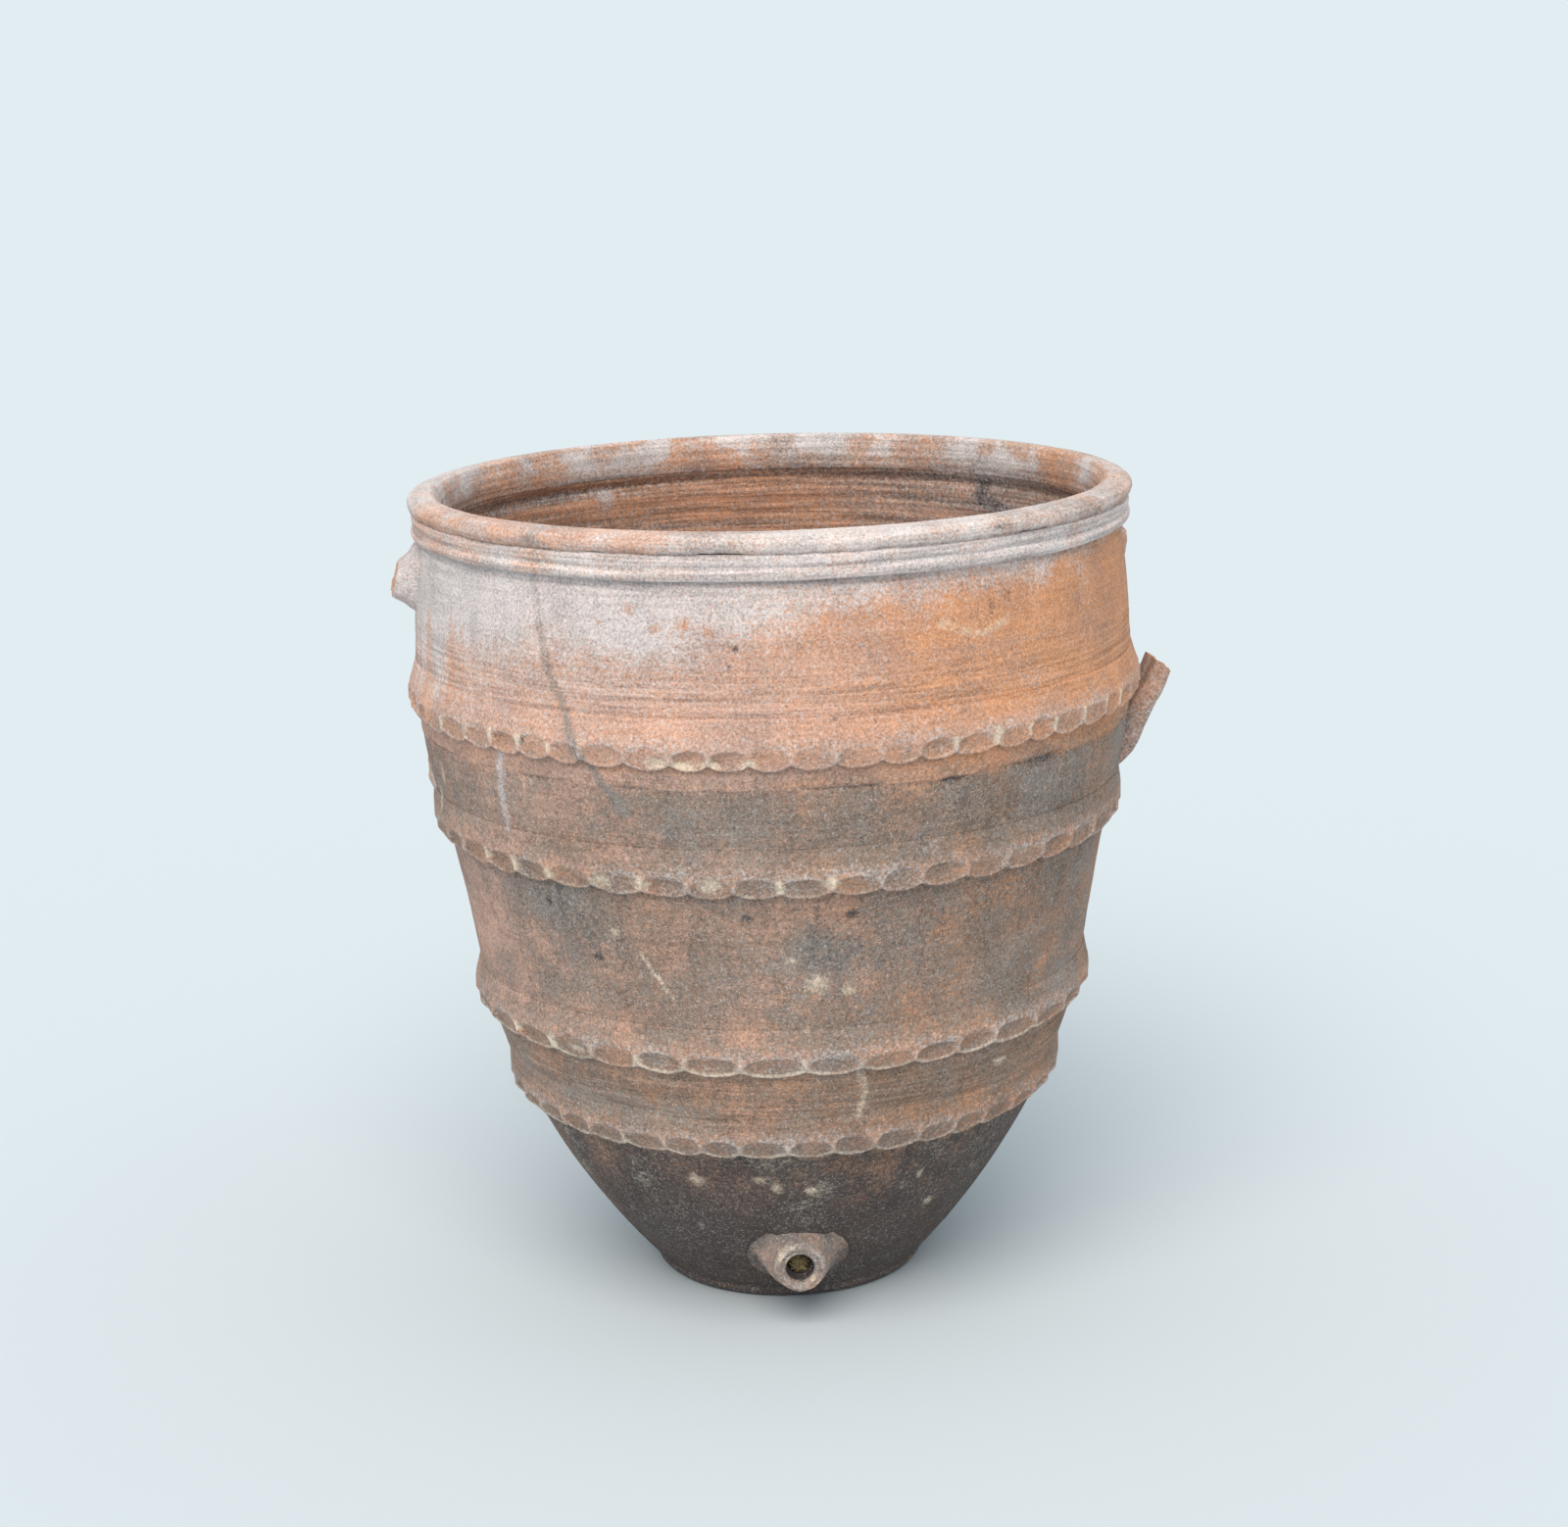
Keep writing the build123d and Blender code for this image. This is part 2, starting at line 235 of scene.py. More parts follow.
def zone(azimuth, height, turn, middle, halfTurn, halfHeight):  # soft patch, angles in degrees
    away = (azimuth - math.radians(turn) + math.pi) % (2 * math.pi) - math.pi
    return np.exp(-((away / math.radians(halfTurn)) ** 2) - ((height - middle) / halfHeight) ** 2)


def wipedAt(height):  # where a wet hand or rib has drawn lines round the wall
    wiped = 0.18 + 0.6 * ease(height, 462, 474) * (1 - ease(height, 484, 506)) + 0.35 * ease(height, 540, 556)
    return wiped + 0.5 * ease(height, 160, 180) * (1 - ease(height, 206, 214)) + 0.3 * ease(-height, -60, -20)


def patches(azimuth, height, tone):
    return sum(amount * zone(azimuth, height, *patch) for amount, *patch in wear["patches"][tone])


def blots(azimuth, height, marks):
    return sum(spot(azimuth, height, mark) for mark in marks)


def wallTones(azimuth, height):  # what the clay material is told about each point of the outer face
    spots, turn, at = around(azimuth, outerAt(height), height), np.degrees(azimuth), (azimuth, height)
    broad, patchy, fine = cloud(spots, 90.0, 31, 2), cloud(spots, 27.0, 32, 3), cloud(spots, 7.0, 33, 2)
    runs = cloud(spots, (8.0, 8.0, 90.0), 34, 2)  # water runs straight down
    swipes = cloud(spots, (80.0, 80.0, 5.0), 35, 2)
    wet, vein = np.clip(runs, 0, 1), streak(*at, wear["vein"], 8)
    left = (1 - ease(turn, -55, 35)) * ease(turn, -180, -130)  # both sides fade out before they meet at the back
    right = ease(turn, 5, 50) * (1 - ease(turn, 130, 180))
    seam = wear["seamHeight"] + 1.3 * cloud(spots, (26.0, 26.0, 1e6), 7)
    below = ease(seam - height, -1, 5)
    under = ease(436 - height, 0, 9) * (1 - below)
    foot = ease(148 + 4 * fine - height, 0, 9)
    lower = ease(215 - height, 0, 10)
    warm = 0.20 + 0.75 * ease(turn, -20, 38) * (1 - ease(turn, 125, 170)) + 0.22 * broad + 0.16 * swipes
    warm += 0.35 * lower + patches(*at, "warm")
    soilAndShade = 0.14 + 0.10 * patchy + 0.30 * under + below * (0.57 + 0.10 * patchy + 0.12 * broad + 0.08 * swipes)
    soilAndShade += 0.10 * right * below + patches(*at, "soilAndShade")
    ash = 0.12 + 0.08 * patchy + below * (0.17 + 0.12 * patchy + 0.08 * fine) + 0.62 * vein - 0.12 * lower
    ash += 0.20 * right * below * (1 - lower) + 0.15 * runs * ease(-turn, 50, 70) + patches(*at, "ash")
    dark = 0.09 + foot * (0.50 + 0.20 * ease(140 - height, 0, 70) + 0.10 * patchy) + 0.08 * below + 0.16 * wet * below
    dark += 0.45 * bell(height - seam + 0.8, 1.1) * (0.7 + 0.6 * patchy)
    # a dark line just under the collar: painted shadow and dirt
    dark += 0.50 * bell(height - 558.6, 1.0) + patches(*at, "dark")
    dark += 0.42 * blots(*at, [flake[:4] for flake in wear["flakes"][:2]])
    dark += 0.75 * blots(*at, wear["blackSpots"]) + 0.36 * blots(*at, wear["rustSpots"])
    edge = np.interp(turn, *zip(*wear["hazeEdge"]))
    reach = height + 9 * patchy + 5 * fine + 9 * runs * zone(*at, -72, 500, 24, 150)
    lime = 0.14 + 0.45 * ease(reach, edge - 18, edge + 22) + 0.26 * left * ease(reach, edge - 85, edge + 5)
    lime += 0.08 * patchy + 0.08 * ease(height, 430, 450) * left - 0.3 * vein - 0.06 * below
    lime += 0.48 * streak(*at, wear["limeDrip"], 8) + 0.35 * wet * zone(*at, -72, 490, 14, 60)
    lime -= 0.55 * blots(*at, wear["limeSpots"])
    cream = 0.06 + 0.66 * streak(*at, wear["scratch"], 2.6) + 0.38 * streak(*at, wear["squiggle"], 7)
    cream += 0.44 * streak(*at, wear["footDrip"], 7) + 0.56 * blots(*at, wear["splashes"]) + 0.08 * fine
    cream += 0.20 * ease(patchy, 0.2, 0.8) * foot * ease(height, 60, 90)
    cream += 0.24 * zone(*at, -76, 90, 8, 45) * ease(swipes, 0, 0.6)
    cream += 0.18 * zone(*at, 2, 485, 25, 12) * ease(swipes, 0.1, 0.6)
    return toneSet(warm, soilAndShade, ash, dark, lime, cream, wipedAt(height))


def insideTones(azimuth, height):
    spots = around(azimuth, innerAt(height), height)
    patchy, bands = cloud(spots, 40.0, 41, 3), cloud(spots, (150.0, 150.0, 5.0), 42, 2)
    broad = cloud(spots, 120.0, 43)
    turn = np.degrees(azimuth)
    # right and deep make the inside greyer and darker towards the right back and further down: painted shade
    right = ease(turn, 60, 130) * (1 - ease(turn, 140, 180))
    deep = ease(548 - height, 0, 110)
    warm = 0.85 - 0.5 * right + 0.25 * bands
    soilAndShade = 0.38 + 0.26 * bands + 0.12 * patchy + 0.14 * deep
    ash = 0.12 + 0.26 * right * (1 + 0.4 * patchy) + 0.12 * deep + 0.1 * broad
    # the band at 558 mm, in the groove under the rim's inner face, is painted dark: painted shade
    dark = 0.11 + 0.22 * bands + 0.08 * deep + 0.10 * right + 0.30 * bell(height - 558, 6)
    dark += 0.55 * streak(azimuth, height, [(133, 563), (134, 545), (128, 535)], 14)
    lime = 0.26 + 0.40 * spot(azimuth, height, (-150, 547, 10, 10)) + 0.16 * bands
    return toneSet(warm, soilAndShade, ash, dark, lime, 0.05, 0.9)


def linear(hexColour):  # sRGB hex to the linear colour that shaders take
    parts = [int(hexColour[n:n + 2], 16) / 255 for n in (1, 3, 5)]
    return (*[c / 12.92 if c <= 0.04045 else ((c + 0.055) / 1.055) ** 2.4 for c in parts], 1.0)


def addNode(tree, kind, inputs=None, **settings):  # an input is a value or another node's output
    node = tree.nodes.new(kind)
    for name, value in settings.items():
        setattr(node, name, value)
    for name, value in (inputs or {}).items():
        if isinstance(value, bpy.types.NodeSocket):
            tree.links.new(value, node.inputs[name])
        else:
            node.inputs[name].default_value = value
    return node


def newMaterial(name):
    material = bpy.data.materials.new(name)
    material.use_nodes = True
    material.node_tree.nodes.clear()
    return material, material.node_tree, addNode(material.node_tree, "ShaderNodeTexCoord").outputs["Object"]


def noise(tree, place, size, detail, roughness=0.5):  # size of the lumps in mm
    inputs = {"Vector": place, "Scale": 1000 / size, "Detail": detail, "Roughness": roughness}
    return addNode(tree, "ShaderNodeTexNoise", inputs).outputs["Fac"]


def readTone(tree, name):
    return addNode(tree, "ShaderNodeAttribute", attribute_name=name).outputs["Fac"]


def calculate(tree, operation, *terms):
    return addNode(tree, "ShaderNodeMath", dict(enumerate(terms)), operation=operation).outputs[0]


def remap(tree, value, low, high, least=0.0, most=1.0):  # low to high becomes least to most
    inputs = {"Value": value, "From Min": low, "From Max": high, "To Min": least, "To Max": most}
    return addNode(tree, "ShaderNodeMapRange", inputs).outputs[0]


def blend(tree, share, below, above):
    return addNode(tree, "ShaderNodeMix", {0: share, 6: below, 7: above}, data_type="RGBA").outputs[2]


# Unglazed earthenware with sand in it. Fired iron gives pink to orange, years outdoors leave grey
# soil and black damp in its pores, and lime comes out of the clay as a white bloom. The soil, ash,
# dark and warm tones also carry painted shade: under the cordons' lips, the collar and the rim,
# in the thumb prints, in the spout's bore and inside the jar.
earthenware = {
    "pink": "#CFA796",
    "orange": "#D4966E",
    "hueLump": 34,  # mm
    "poreSize": 1.7,
    "wipeSpacing": 2.6,
    "wipeStretch": (0.035, 0.035, 1),  # the lines run round the jar
    "mottling": (0.58, 1.42),  # how much darker and lighter the pores and lumps make it
    "roughness": (0.82, 0.97),  # dry fired clay hardly shines
    "ior": 1.5,
    "specular": 0.25,
    "bump": 0.9,
    "bumpDepth": 0.7,  # mm
    "depth": 0.84,  # overall darkness, the photo being evenly and brightly lit
}
clayLayers = [  # from the clay outwards; patch is in mm, ragged is how far the edge of a patch is frayed
    {"tone": "soilAndShade", "colour": "#8D7869", "patch": 4.0, "ragged": 1.9, "strength": 0.90},
    {"tone": "ash", "colour": "#938D88", "patch": 5.0, "ragged": 2.1, "strength": 0.80},
    {"tone": "dark", "colour": "#4B4646", "patch": 3.2, "ragged": 1.9, "strength": 0.90},
    {"tone": "lime", "colour": "#D9D3D3", "patch": 2.6, "ragged": 2.6, "strength": 0.82},
    {"tone": "cream", "colour": "#E6D3BC", "patch": 3.0, "ragged": 1.9, "strength": 0.88},
]
grains = [  # the sand: size in mm, a little coarser than the real sand so that it shows; rarer as cut nears 1
    {"size": 1.3, "cut": 0.86, "colour": "#EADDD0", "strength": 0.50},
    {"size": 1.9, "cut": 0.88, "colour": "#33291F", "strength": 0.50},
]


def makeClay(name, tint=1.0, grainShow=1.0, bump=1.0):
    material, tree, place = newMaterial(name)
    flat = addNode(tree, "ShaderNodeMapping", {"Vector": place, "Scale": earthenware["wipeStretch"]}).outputs[0]
    lumps = noise(tree, place, earthenware["hueLump"], 8, 0.65)
    wipes = noise(tree, flat, earthenware["wipeSpacing"], 3)
    pores = noise(tree, place, earthenware["poreSize"], 3, 0.7)
    warm = remap(tree, calculate(tree, "MULTIPLY_ADD", lumps, 1.2, readTone(tree, "warm")), 0.6, 1.6)
    colour = blend(tree, warm, linear(earthenware["pink"]), linear(earthenware["orange"]))
    for layer in clayLayers:
        breakUp, frayed = noise(tree, place, layer["patch"], 7, 0.78), layer["ragged"]
        ragged = calculate(tree, "MULTIPLY_ADD", breakUp, frayed, readTone(tree, layer["tone"]))
        mask = remap(tree, ragged, frayed / 2 + 0.22, frayed / 2 + 0.78, 0, layer["strength"])
        colour = blend(tree, mask, colour, linear(layer["colour"]))
    for grain in grains:
        cells = addNode(tree, "ShaderNodeTexVoronoi", {"Vector": place, "Scale": 1000 / grain["size"]})
        near = remap(tree, cells.outputs["Distance"], 0.46, 0.12, 0, grain["strength"] * grainShow)
        pick = addNode(tree, "ShaderNodeSeparateColor", {"Color": cells.outputs["Color"]}).outputs[0]
        mask = calculate(tree, "MULTIPLY", near, calculate(tree, "GREATER_THAN", pick, grain["cut"]))
        colour = blend(tree, mask, colour, linear(grain["colour"]))
    lines = calculate(tree, "SUBTRACT", wipes, 0.5)
    sandy = calculate(tree, "MULTIPLY_ADD", lines, readTone(tree, "wiped"), pores)
    shade = calculate(tree, "MULTIPLY_ADD", lumps, 0.45, sandy)
    value = remap(tree, shade, 0.50, 0.95, *[end * tint * earthenware["depth"] for end in earthenware["mottling"]])
    colour = addNode(tree, "ShaderNodeHueSaturation", {"Value": value, "Color": colour}).outputs[0]
    relief = addNode(tree, "ShaderNodeBump", {"Strength": earthenware["bump"] * bump, "Height": sandy,
                                              "Distance": earthenware["bumpDepth"] * mm}).outputs[0]
    shader = addNode(tree, "ShaderNodeBsdfPrincipled", {
        "Base Color": colour, "Roughness": remap(tree, pores, 0.3, 0.7, *earthenware["roughness"]), "Normal": relief,
        "IOR": earthenware["ior"], "Specular IOR Level": earthenware["specular"]}).outputs[0]
    addNode(tree, "ShaderNodeOutputMaterial", {"Surface": shader})
    return material


clays = {
    "limedEarthenware": makeClay("limedEarthenware", 1.02, 0.8),  # rim and collar, skinned with lime
    "wipedEarthenware": makeClay("wipedEarthenware", 1.0, 0.8),  # shoulder, smoothed with a wet hand
    "weatheredEarthenware": makeClay("weatheredEarthenware", 1.0, 1.2),  # the belly, its sand standing out
    "pressedEarthenware": makeClay("pressedEarthenware", 1.0, 0.7),  # cordons, smooth where a thumb pressed
    "dampEarthenware": makeClay("dampEarthenware", 0.98, 1.1, 1.2),  # foot and spout, dark with soil, and the spout's bore with painted shade
}
print("clay materials made")


def putPiece(name, points, faces, tones, material, node, body="jar", crease=48):
    mesh = bpy.data.meshes.new(name)
    mesh.from_pydata((points * mm).tolist(), [], faces)
    mesh.update()
    for tone, values in tones.items():
        attribute = mesh.attributes.new(tone, "FLOAT", "POINT")
        attribute.data.foreach_set("value", np.ascontiguousarray(values, np.float32).ravel())
    mesh.materials.append(material)
    mesh.shade_smooth()
    mesh.set_sharp_from_angle(angle=math.radians(crease))
    piece = bpy.data.objects.new(name, mesh)
    bpy.context.scene.collection.objects.link(piece)
    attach(piece, body)
    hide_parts(node)
    return piece


def ringFaces(rows, columns, closed=True):
    here = np.arange(columns)
    after = (here + 1) % columns
    low = np.arange(rows if closed else rows - 1)
    high = (low + 1) % rows
    low, high = low[:, None] * columns, high[:, None] * columns
    return np.stack((low + here, low + after, high + after, high + here), -1).reshape(-1, 4)


def capFaces(rows, columns):  # fans over both ends of a tube, to two points that follow its own
    last, low = (rows - 1) * columns, rows * columns
    faces = []
    for c in range(columns):
        after = (c + 1) % columns
        faces += [[after, c, low], [last + c, last + after, low + 1]]
    return faces


def revolved(profile, columns):
    azimuth = turns(columns)
    turn, radius = np.meshgrid(azimuth, profile[:, 0])
    return turn, radius, np.repeat(profile[:, 1:2], columns, 1)


def blendTones(first, second, share):
    return {tone: first[tone] * (1 - share) + second[tone] * share for tone in first}


wallLooks = {
    "foot_wall": ("footWall", "dampEarthenware", "dark_clay"),
    "lower_wall": ("lowerWall", "weatheredEarthenware", "brown_clay"),
    "middle_wall": ("middleWall", "weatheredEarthenware", "brown_clay"),
    "upper_wall": ("upperWall", "weatheredEarthenware", "brown_clay"),
    "shoulder_wall": ("shoulderWall", "wipedEarthenware", "pink_clay"),
}
# The wall is open round the spout's throat, out of sight inside the spigot
drain = {"height": 47.5, "tunnel": 8.8, "wallRadius": 145}


def makeWall(node, low, high):
    name, clay, slot = wallLooks[node]
    columns = jar["columns"]
    azimuth = turns(columns)
    outer = np.linspace(low[1], high[1], max(8, round((high[1] - low[1]) / jar["rowStep"])))
    innerLow, innerHigh = innerEnd(low), innerEnd(high)
    inner = np.linspace(innerHigh[1], innerLow[1], max(8, round((innerHigh[1] - innerLow[1]) / jar["insideStep"])))
    turn, outerHeight = np.meshgrid(azimuth, outer)
    turnIn, innerHeight = np.meshgrid(azimuth, inner)
    outerPoints = around(turn, outerAt(outerHeight) + wallMarks(turn, outerHeight), outerHeight)
    innerPoints = around(turnIn, innerAt(innerHeight) + insideMarks(turnIn, innerHeight), innerHeight)
    points = np.vstack((outerPoints.reshape(-1, 3), innerPoints.reshape(-1, 3)))
    outside, inside = wallTones(turn, outerHeight), insideTones(turnIn, innerHeight)
    tones = {tone: np.concatenate((outside[tone].ravel(), inside[tone].ravel())) for tone in outside}
    rows = len(outer) + len(inner)
    faces = ringFaces(rows, columns)
    if node == "foot_wall":
        cols = np.where(np.abs(azimuth) * drain["wallRadius"] < drain["tunnel"])[0]
        rowsOut = np.where(np.abs(outer - drain["height"]) < drain["tunnel"])[0]
        middleIn = len(outer) + int(np.argmin(np.abs(inner - drain["height"])))
        reach = (len(rowsOut) - 1) // 4 * 2
        rowsOut = rowsOut[:reach + 1]
        rowsIn = np.arange(middleIn - reach // 2, middleIn + reach // 2 + 1)
        opened = np.zeros((rows, columns), bool)
        opened[np.ix_(rowsOut[:-1], cols[:-1])] = True
        opened[np.ix_(rowsIn[:-1], cols[:-1])] = True
        faces = faces[~opened.ravel()]
        rim = [(0, c) for c in range(len(cols) - 1)] + [(r, len(cols) - 1) for r in range(reach)]
        rim += [(reach, c) for c in range(len(cols) - 1, 0, -1)] + [(r, 0) for r in range(reach, 0, -1)]
        outLoop = [rowsOut[r] * columns + cols[c] for r, c in rim]
        inLoop = [rowsIn[reach - r] * columns + cols[c] for r, c in rim]
        steps = range(len(rim))
        tunnel = [[outLoop[s], outLoop[(s + 1) % len(rim)], inLoop[(s + 1) % len(rim)], inLoop[s]] for s in steps]
        faces = np.vstack((faces, np.array(tunnel)[:, ::-1]))
    return putPiece(name, points, faces.tolist(), tones, clays[clay], node)


for section, (low, high, bulge) in zip(jar["sections"], pairs):
    makeWall(section, low, high)
    print("made", section)

base = {"flatRadius": 92, "topRadius": 88, "leastRadius": 4, "rings": 26, "columns": 256, "cornerSteps": 9}


def makeFloor():
    columns, rings, least = base["columns"], base["rings"], base["leastRadius"]
    corner = np.linspace(0, math.pi / 2, base["cornerSteps"])
    under = [(radius, 0) for radius in np.linspace(least, base["flatRadius"], rings)]
    bend = [(base["flatRadius"] + jar["corner"] * math.sin(c), jar["corner"] * (1 - math.cos(c))) for c in corner[1:]]
    top = [(radius, jar["floorThickness"]) for radius in np.linspace(base["topRadius"], least, rings)]
    profile = np.array(under + bend + top, float)
    turn, radius, height = revolved(profile, columns)
    spots = around(turn, radius, height)
    worn = np.clip(0.5 * cloud(spots, 14.0, 51) + 0.3, 0, 1) * ease(-radius, -92, -80)
    height = height + np.where(height < 1, worn, 0)
    radius = radius + 0.3 * cloud(spots, 20.0, 52) * (height > 2) * (height < 9)
    height = height + np.where(profile[:, 1:2] > 16.9, 0.8 * np.sin(radius / 2.6) * ease(-radius, -86, -78), 0)
    points = np.vstack((around(turn, radius, height).reshape(-1, 3), [[0, 0, 0], [0, 0, jar["floorThickness"]]]))
    faces = ringFaces(len(profile), columns, False).tolist() + capFaces(len(profile), columns)
    patchy = cloud(points, 22.0, 53, 3)
    tones = {"warm": 0.4 + 0 * patchy, "soilAndShade": 0.6 + 0.3 * patchy, "ash": 0.3 + 0.2 * patchy,
             "dark": 0.86 + 0.18 * patchy, "lime": 0.12 + 0.1 * patchy, "cream": 0.10 + 0.1 * patchy}
    return putPiece("baseFloor", points, faces, tones, clays["dampEarthenware"], "base_floor")


makeFloor()
print("made base_floor")

rim = {
    "step": 1.25,
    "sag": 1.5,  # how unevenly the lip hangs over the collar
    "lump": 0.5,
    "chips": [(-40, 583, 4, 5), (33, 583, 5, 3), (-71, 579, 5, 2.5), (57, 580, 7, 3), (150, 586, 6, 4),
              (-160, 582, 8, 4)],
    "most": (259.9, 591),  # the roll stays inside this radius and height
}


def resample(corners, step):
    line = np.array(corners + [corners[0]], float)
    lengths = np.hypot(*np.diff(line, axis=0).T)
    along = np.concatenate(([0], np.cumsum(lengths)))
    marks = np.linspace(0, along[-1], round(along[-1] / step), endpoint=False)
    return np.column_stack((np.interp(marks, along, line[:, 0]), np.interp(marks, along, line[:, 1])))


def makeRim():
    outerBend = [(251, 590.0), (254.5, 589.2), (257.6, 587.6), (259.4, 585.2), (259.7, 582.6), (258.6, 580.0),
                 (256.4, 578.2), (254, 577.5)]
    innerFace = [(237, 563), (235.9, 568), (235.4, 574.5), (236.2, 581), (238, 586), (239.5, 589.0), (243, 590.8)]
    profile = resample([(250, 563)] + [(250, 577.5)] + outerBend[::-1] + innerFace[::-1], rim["step"])
    turn, radius, height = revolved(profile, jar["columns"])
    spots = around(turn, radius, height)
    free = ease(height, 563, 569) * np.where(radius < 248, 1, ease(height, 577.4, 579))
    outer = ease(radius, 251, 255) * ease(-height, -586, -579)
    ragged = cloud(spots, (24.0, 24.0, 900.0), 61, 3) + 0.5 * cloud(spots, (6.0, 6.0, 900.0), 62)
    height = height - outer * (0.9 + rim["sag"] * ragged)
    shown = rim["lump"] * cloud(spots, 30.0, 63, 2) + 0.16 * cloud(spots, 5.0, 64, 2)
    groove = 0.5 * cloud(spots, (90.0, 90.0, 3.5), 65) * (radius < 240)
    radius = radius + free * (np.where(radius > 247, shown - 0.5, -shown) + groove)
    height = np.minimum(height - 0.35 * free * np.abs(shown), rim["most"][1])
    notch = 0
    for chip in rim["chips"]:
        notch = notch + ease(spot(turn, height, chip) + 0.1 * cloud(spots, 4.0, 66), 0.2, 0.6)
    radius = radius - 1.1 * notch * (radius > 250)
    radius = np.minimum(radius, rim["most"][0])
    points = around(turn, radius, height)
    degrees = np.degrees(turn)
    broad, patchy, fine = cloud(spots, 80.0, 67, 2), cloud(spots, 18.0, 68, 3), cloud(spots, 6.0, 69, 2)
    front = ease(degrees, -34, -8) * (1 - ease(degrees, 12, 40))
    back = ease(np.abs(degrees), 90, 130)
    inside = ease(-radius, -245, -240)
    lime = 0.42 + 0.20 * front + 0.18 * broad + 0.20 * patchy + 0.12 * (1 - inside) * ease(height, 586, 590)
    lime = lime - 0.02 * inside + 0.34 * inside * ease(height, 570, 577) * ease(patchy + 0.4 * broad, 0.0, 0.6)
    lime += 0.25 * zone(turn, height, -95, 588, 30, 9)
    dark = 0.10 + 0.12 * patchy + 0.45 * spot(turn, height, (33, 583, 9, 5)) + 0.2 * notch
    # the foot of the inner face, where it meets the wall, is painted darker: painted shade
    dark += 0.30 * inside * ease(571 - height, 0, 7) + 0.45 * inside * spot(turn, height, (134, 572, 12, 12))
    # the underside of the outer roll is painted dark: painted shade
    dark += 0.36 * outer * ease(579.8 - height, 0, 3)
    ash = 0.26 + 0.14 * broad + 0.46 * spot(turn, height, (-40, 583, 13, 10)) + 0.20 * inside * ease(degrees, 80, 130)
    ash += 0.22 * (1 - inside) * back + 0.12 * ease(degrees, 10, 50) * (1 - inside)
    soilAndShade = 0.14 + 0.14 * patchy + 0.22 * spot(turn, height, (52, 584, 34, 9)) + 0.08 * inside
    warm = 0.42 + 0.3 * broad + 0.35 * ease(degrees, 20, 60) * (1 - ease(degrees, 100, 140)) + 0.35 * inside
    warm += 0.25 * zone(turn, height, -60, 583, 20, 12)
    cream = 0.10 + 0.12 * fine * outer + 0.10 * front
    tones = toneSet(warm, soilAndShade, ash, dark, lime, cream, 0.5)
    faces = ringFaces(len(profile), jar["columns"]).tolist()
    return putPiece("rimRoll", points.reshape(-1, 3), faces, tones, clays["limedEarthenware"], "rim_roll",
                    crease=75)


makeRim()
print("made rim_roll")

collar = {"low": 559.5, "high": 577.5, "step": 0.9, "root": 247.0, "proud": 257.7}


def makeCollar():
    low, high, proud = collar["low"], collar["high"], collar["proud"]
    face = [(proud - 2.6, low), (proud - 0.9, low + 0.9), (proud, low + 3.2), (proud - 0.2, low + 5.8),
            (proud - 2.0, low + 8.0), (proud - 2.3, low + 9.2), (proud - 1.0, low + 11.2), (proud - 0.6, low + 14),
            (proud - 1.1, low + 16.6), (proud - 2.4, high)]
    profile = resample(face + [(collar["root"], high), (collar["root"], low)], collar["step"])
    turn, radius, height = revolved(profile, jar["columns"])
    spots = around(turn, radius, height)
    free = ease(radius, 250, 254)
    wave = cloud(spots, (60.0, 60.0, 900.0), 71, 2)
    height = height + free * 0.8 * wave * ease(570 - height, 0, 8)
    lines = 0.18 * cloud(spots, (70.0, 70.0, 2.2), 72) + 0.14 * cloud(spots, 5.0, 73, 2)
    radius = np.minimum(radius + free * (0.35 * cloud(spots, 40.0, 74) + lines), 257.95)
    patchy, broad = cloud(spots, 22.0, 75, 3), cloud(spots, 90.0, 76)
    degrees = np.degrees(turn)
    lime = 0.66 + 0.20 * patchy + 0.10 * broad - 0.2 * spot(turn, height, (-39, 569, 14, 20))
    lime += 0.14 * ease(degrees, -30, 0) - 0.12 * ease(-degrees, 45, 75)
    groove = bell(height - low - 8.8, 1.3)
    ash = 0.22 + 0.18 * patchy + 0.36 * spot(turn, height, (-39, 569, 14, 20)) + 0.16 * groove
    # darker at the collar's lower edge, painted shadow and dirt, and at its top under the rim, painted shade
    dark = 0.06 + 0.55 * ease(561.6 - height, 0, 2) + 0.30 * ease(height, 575, 577) + 0.18 * groove + 0.08 * patchy
    tones = toneSet(0.25 + 0.25 * broad, 0.14 + 0.12 * patchy, ash, dark, lime, 0.14 + 0.1 * broad, 0.8)
    points = around(turn, radius, height).reshape(-1, 3)
    faces = ringFaces(len(profile), jar["columns"]).tolist()
    return putPiece("neckCollar", points, faces, tones, clays["limedEarthenware"], "neck_collar")


makeCollar()
print("made neck_collar")

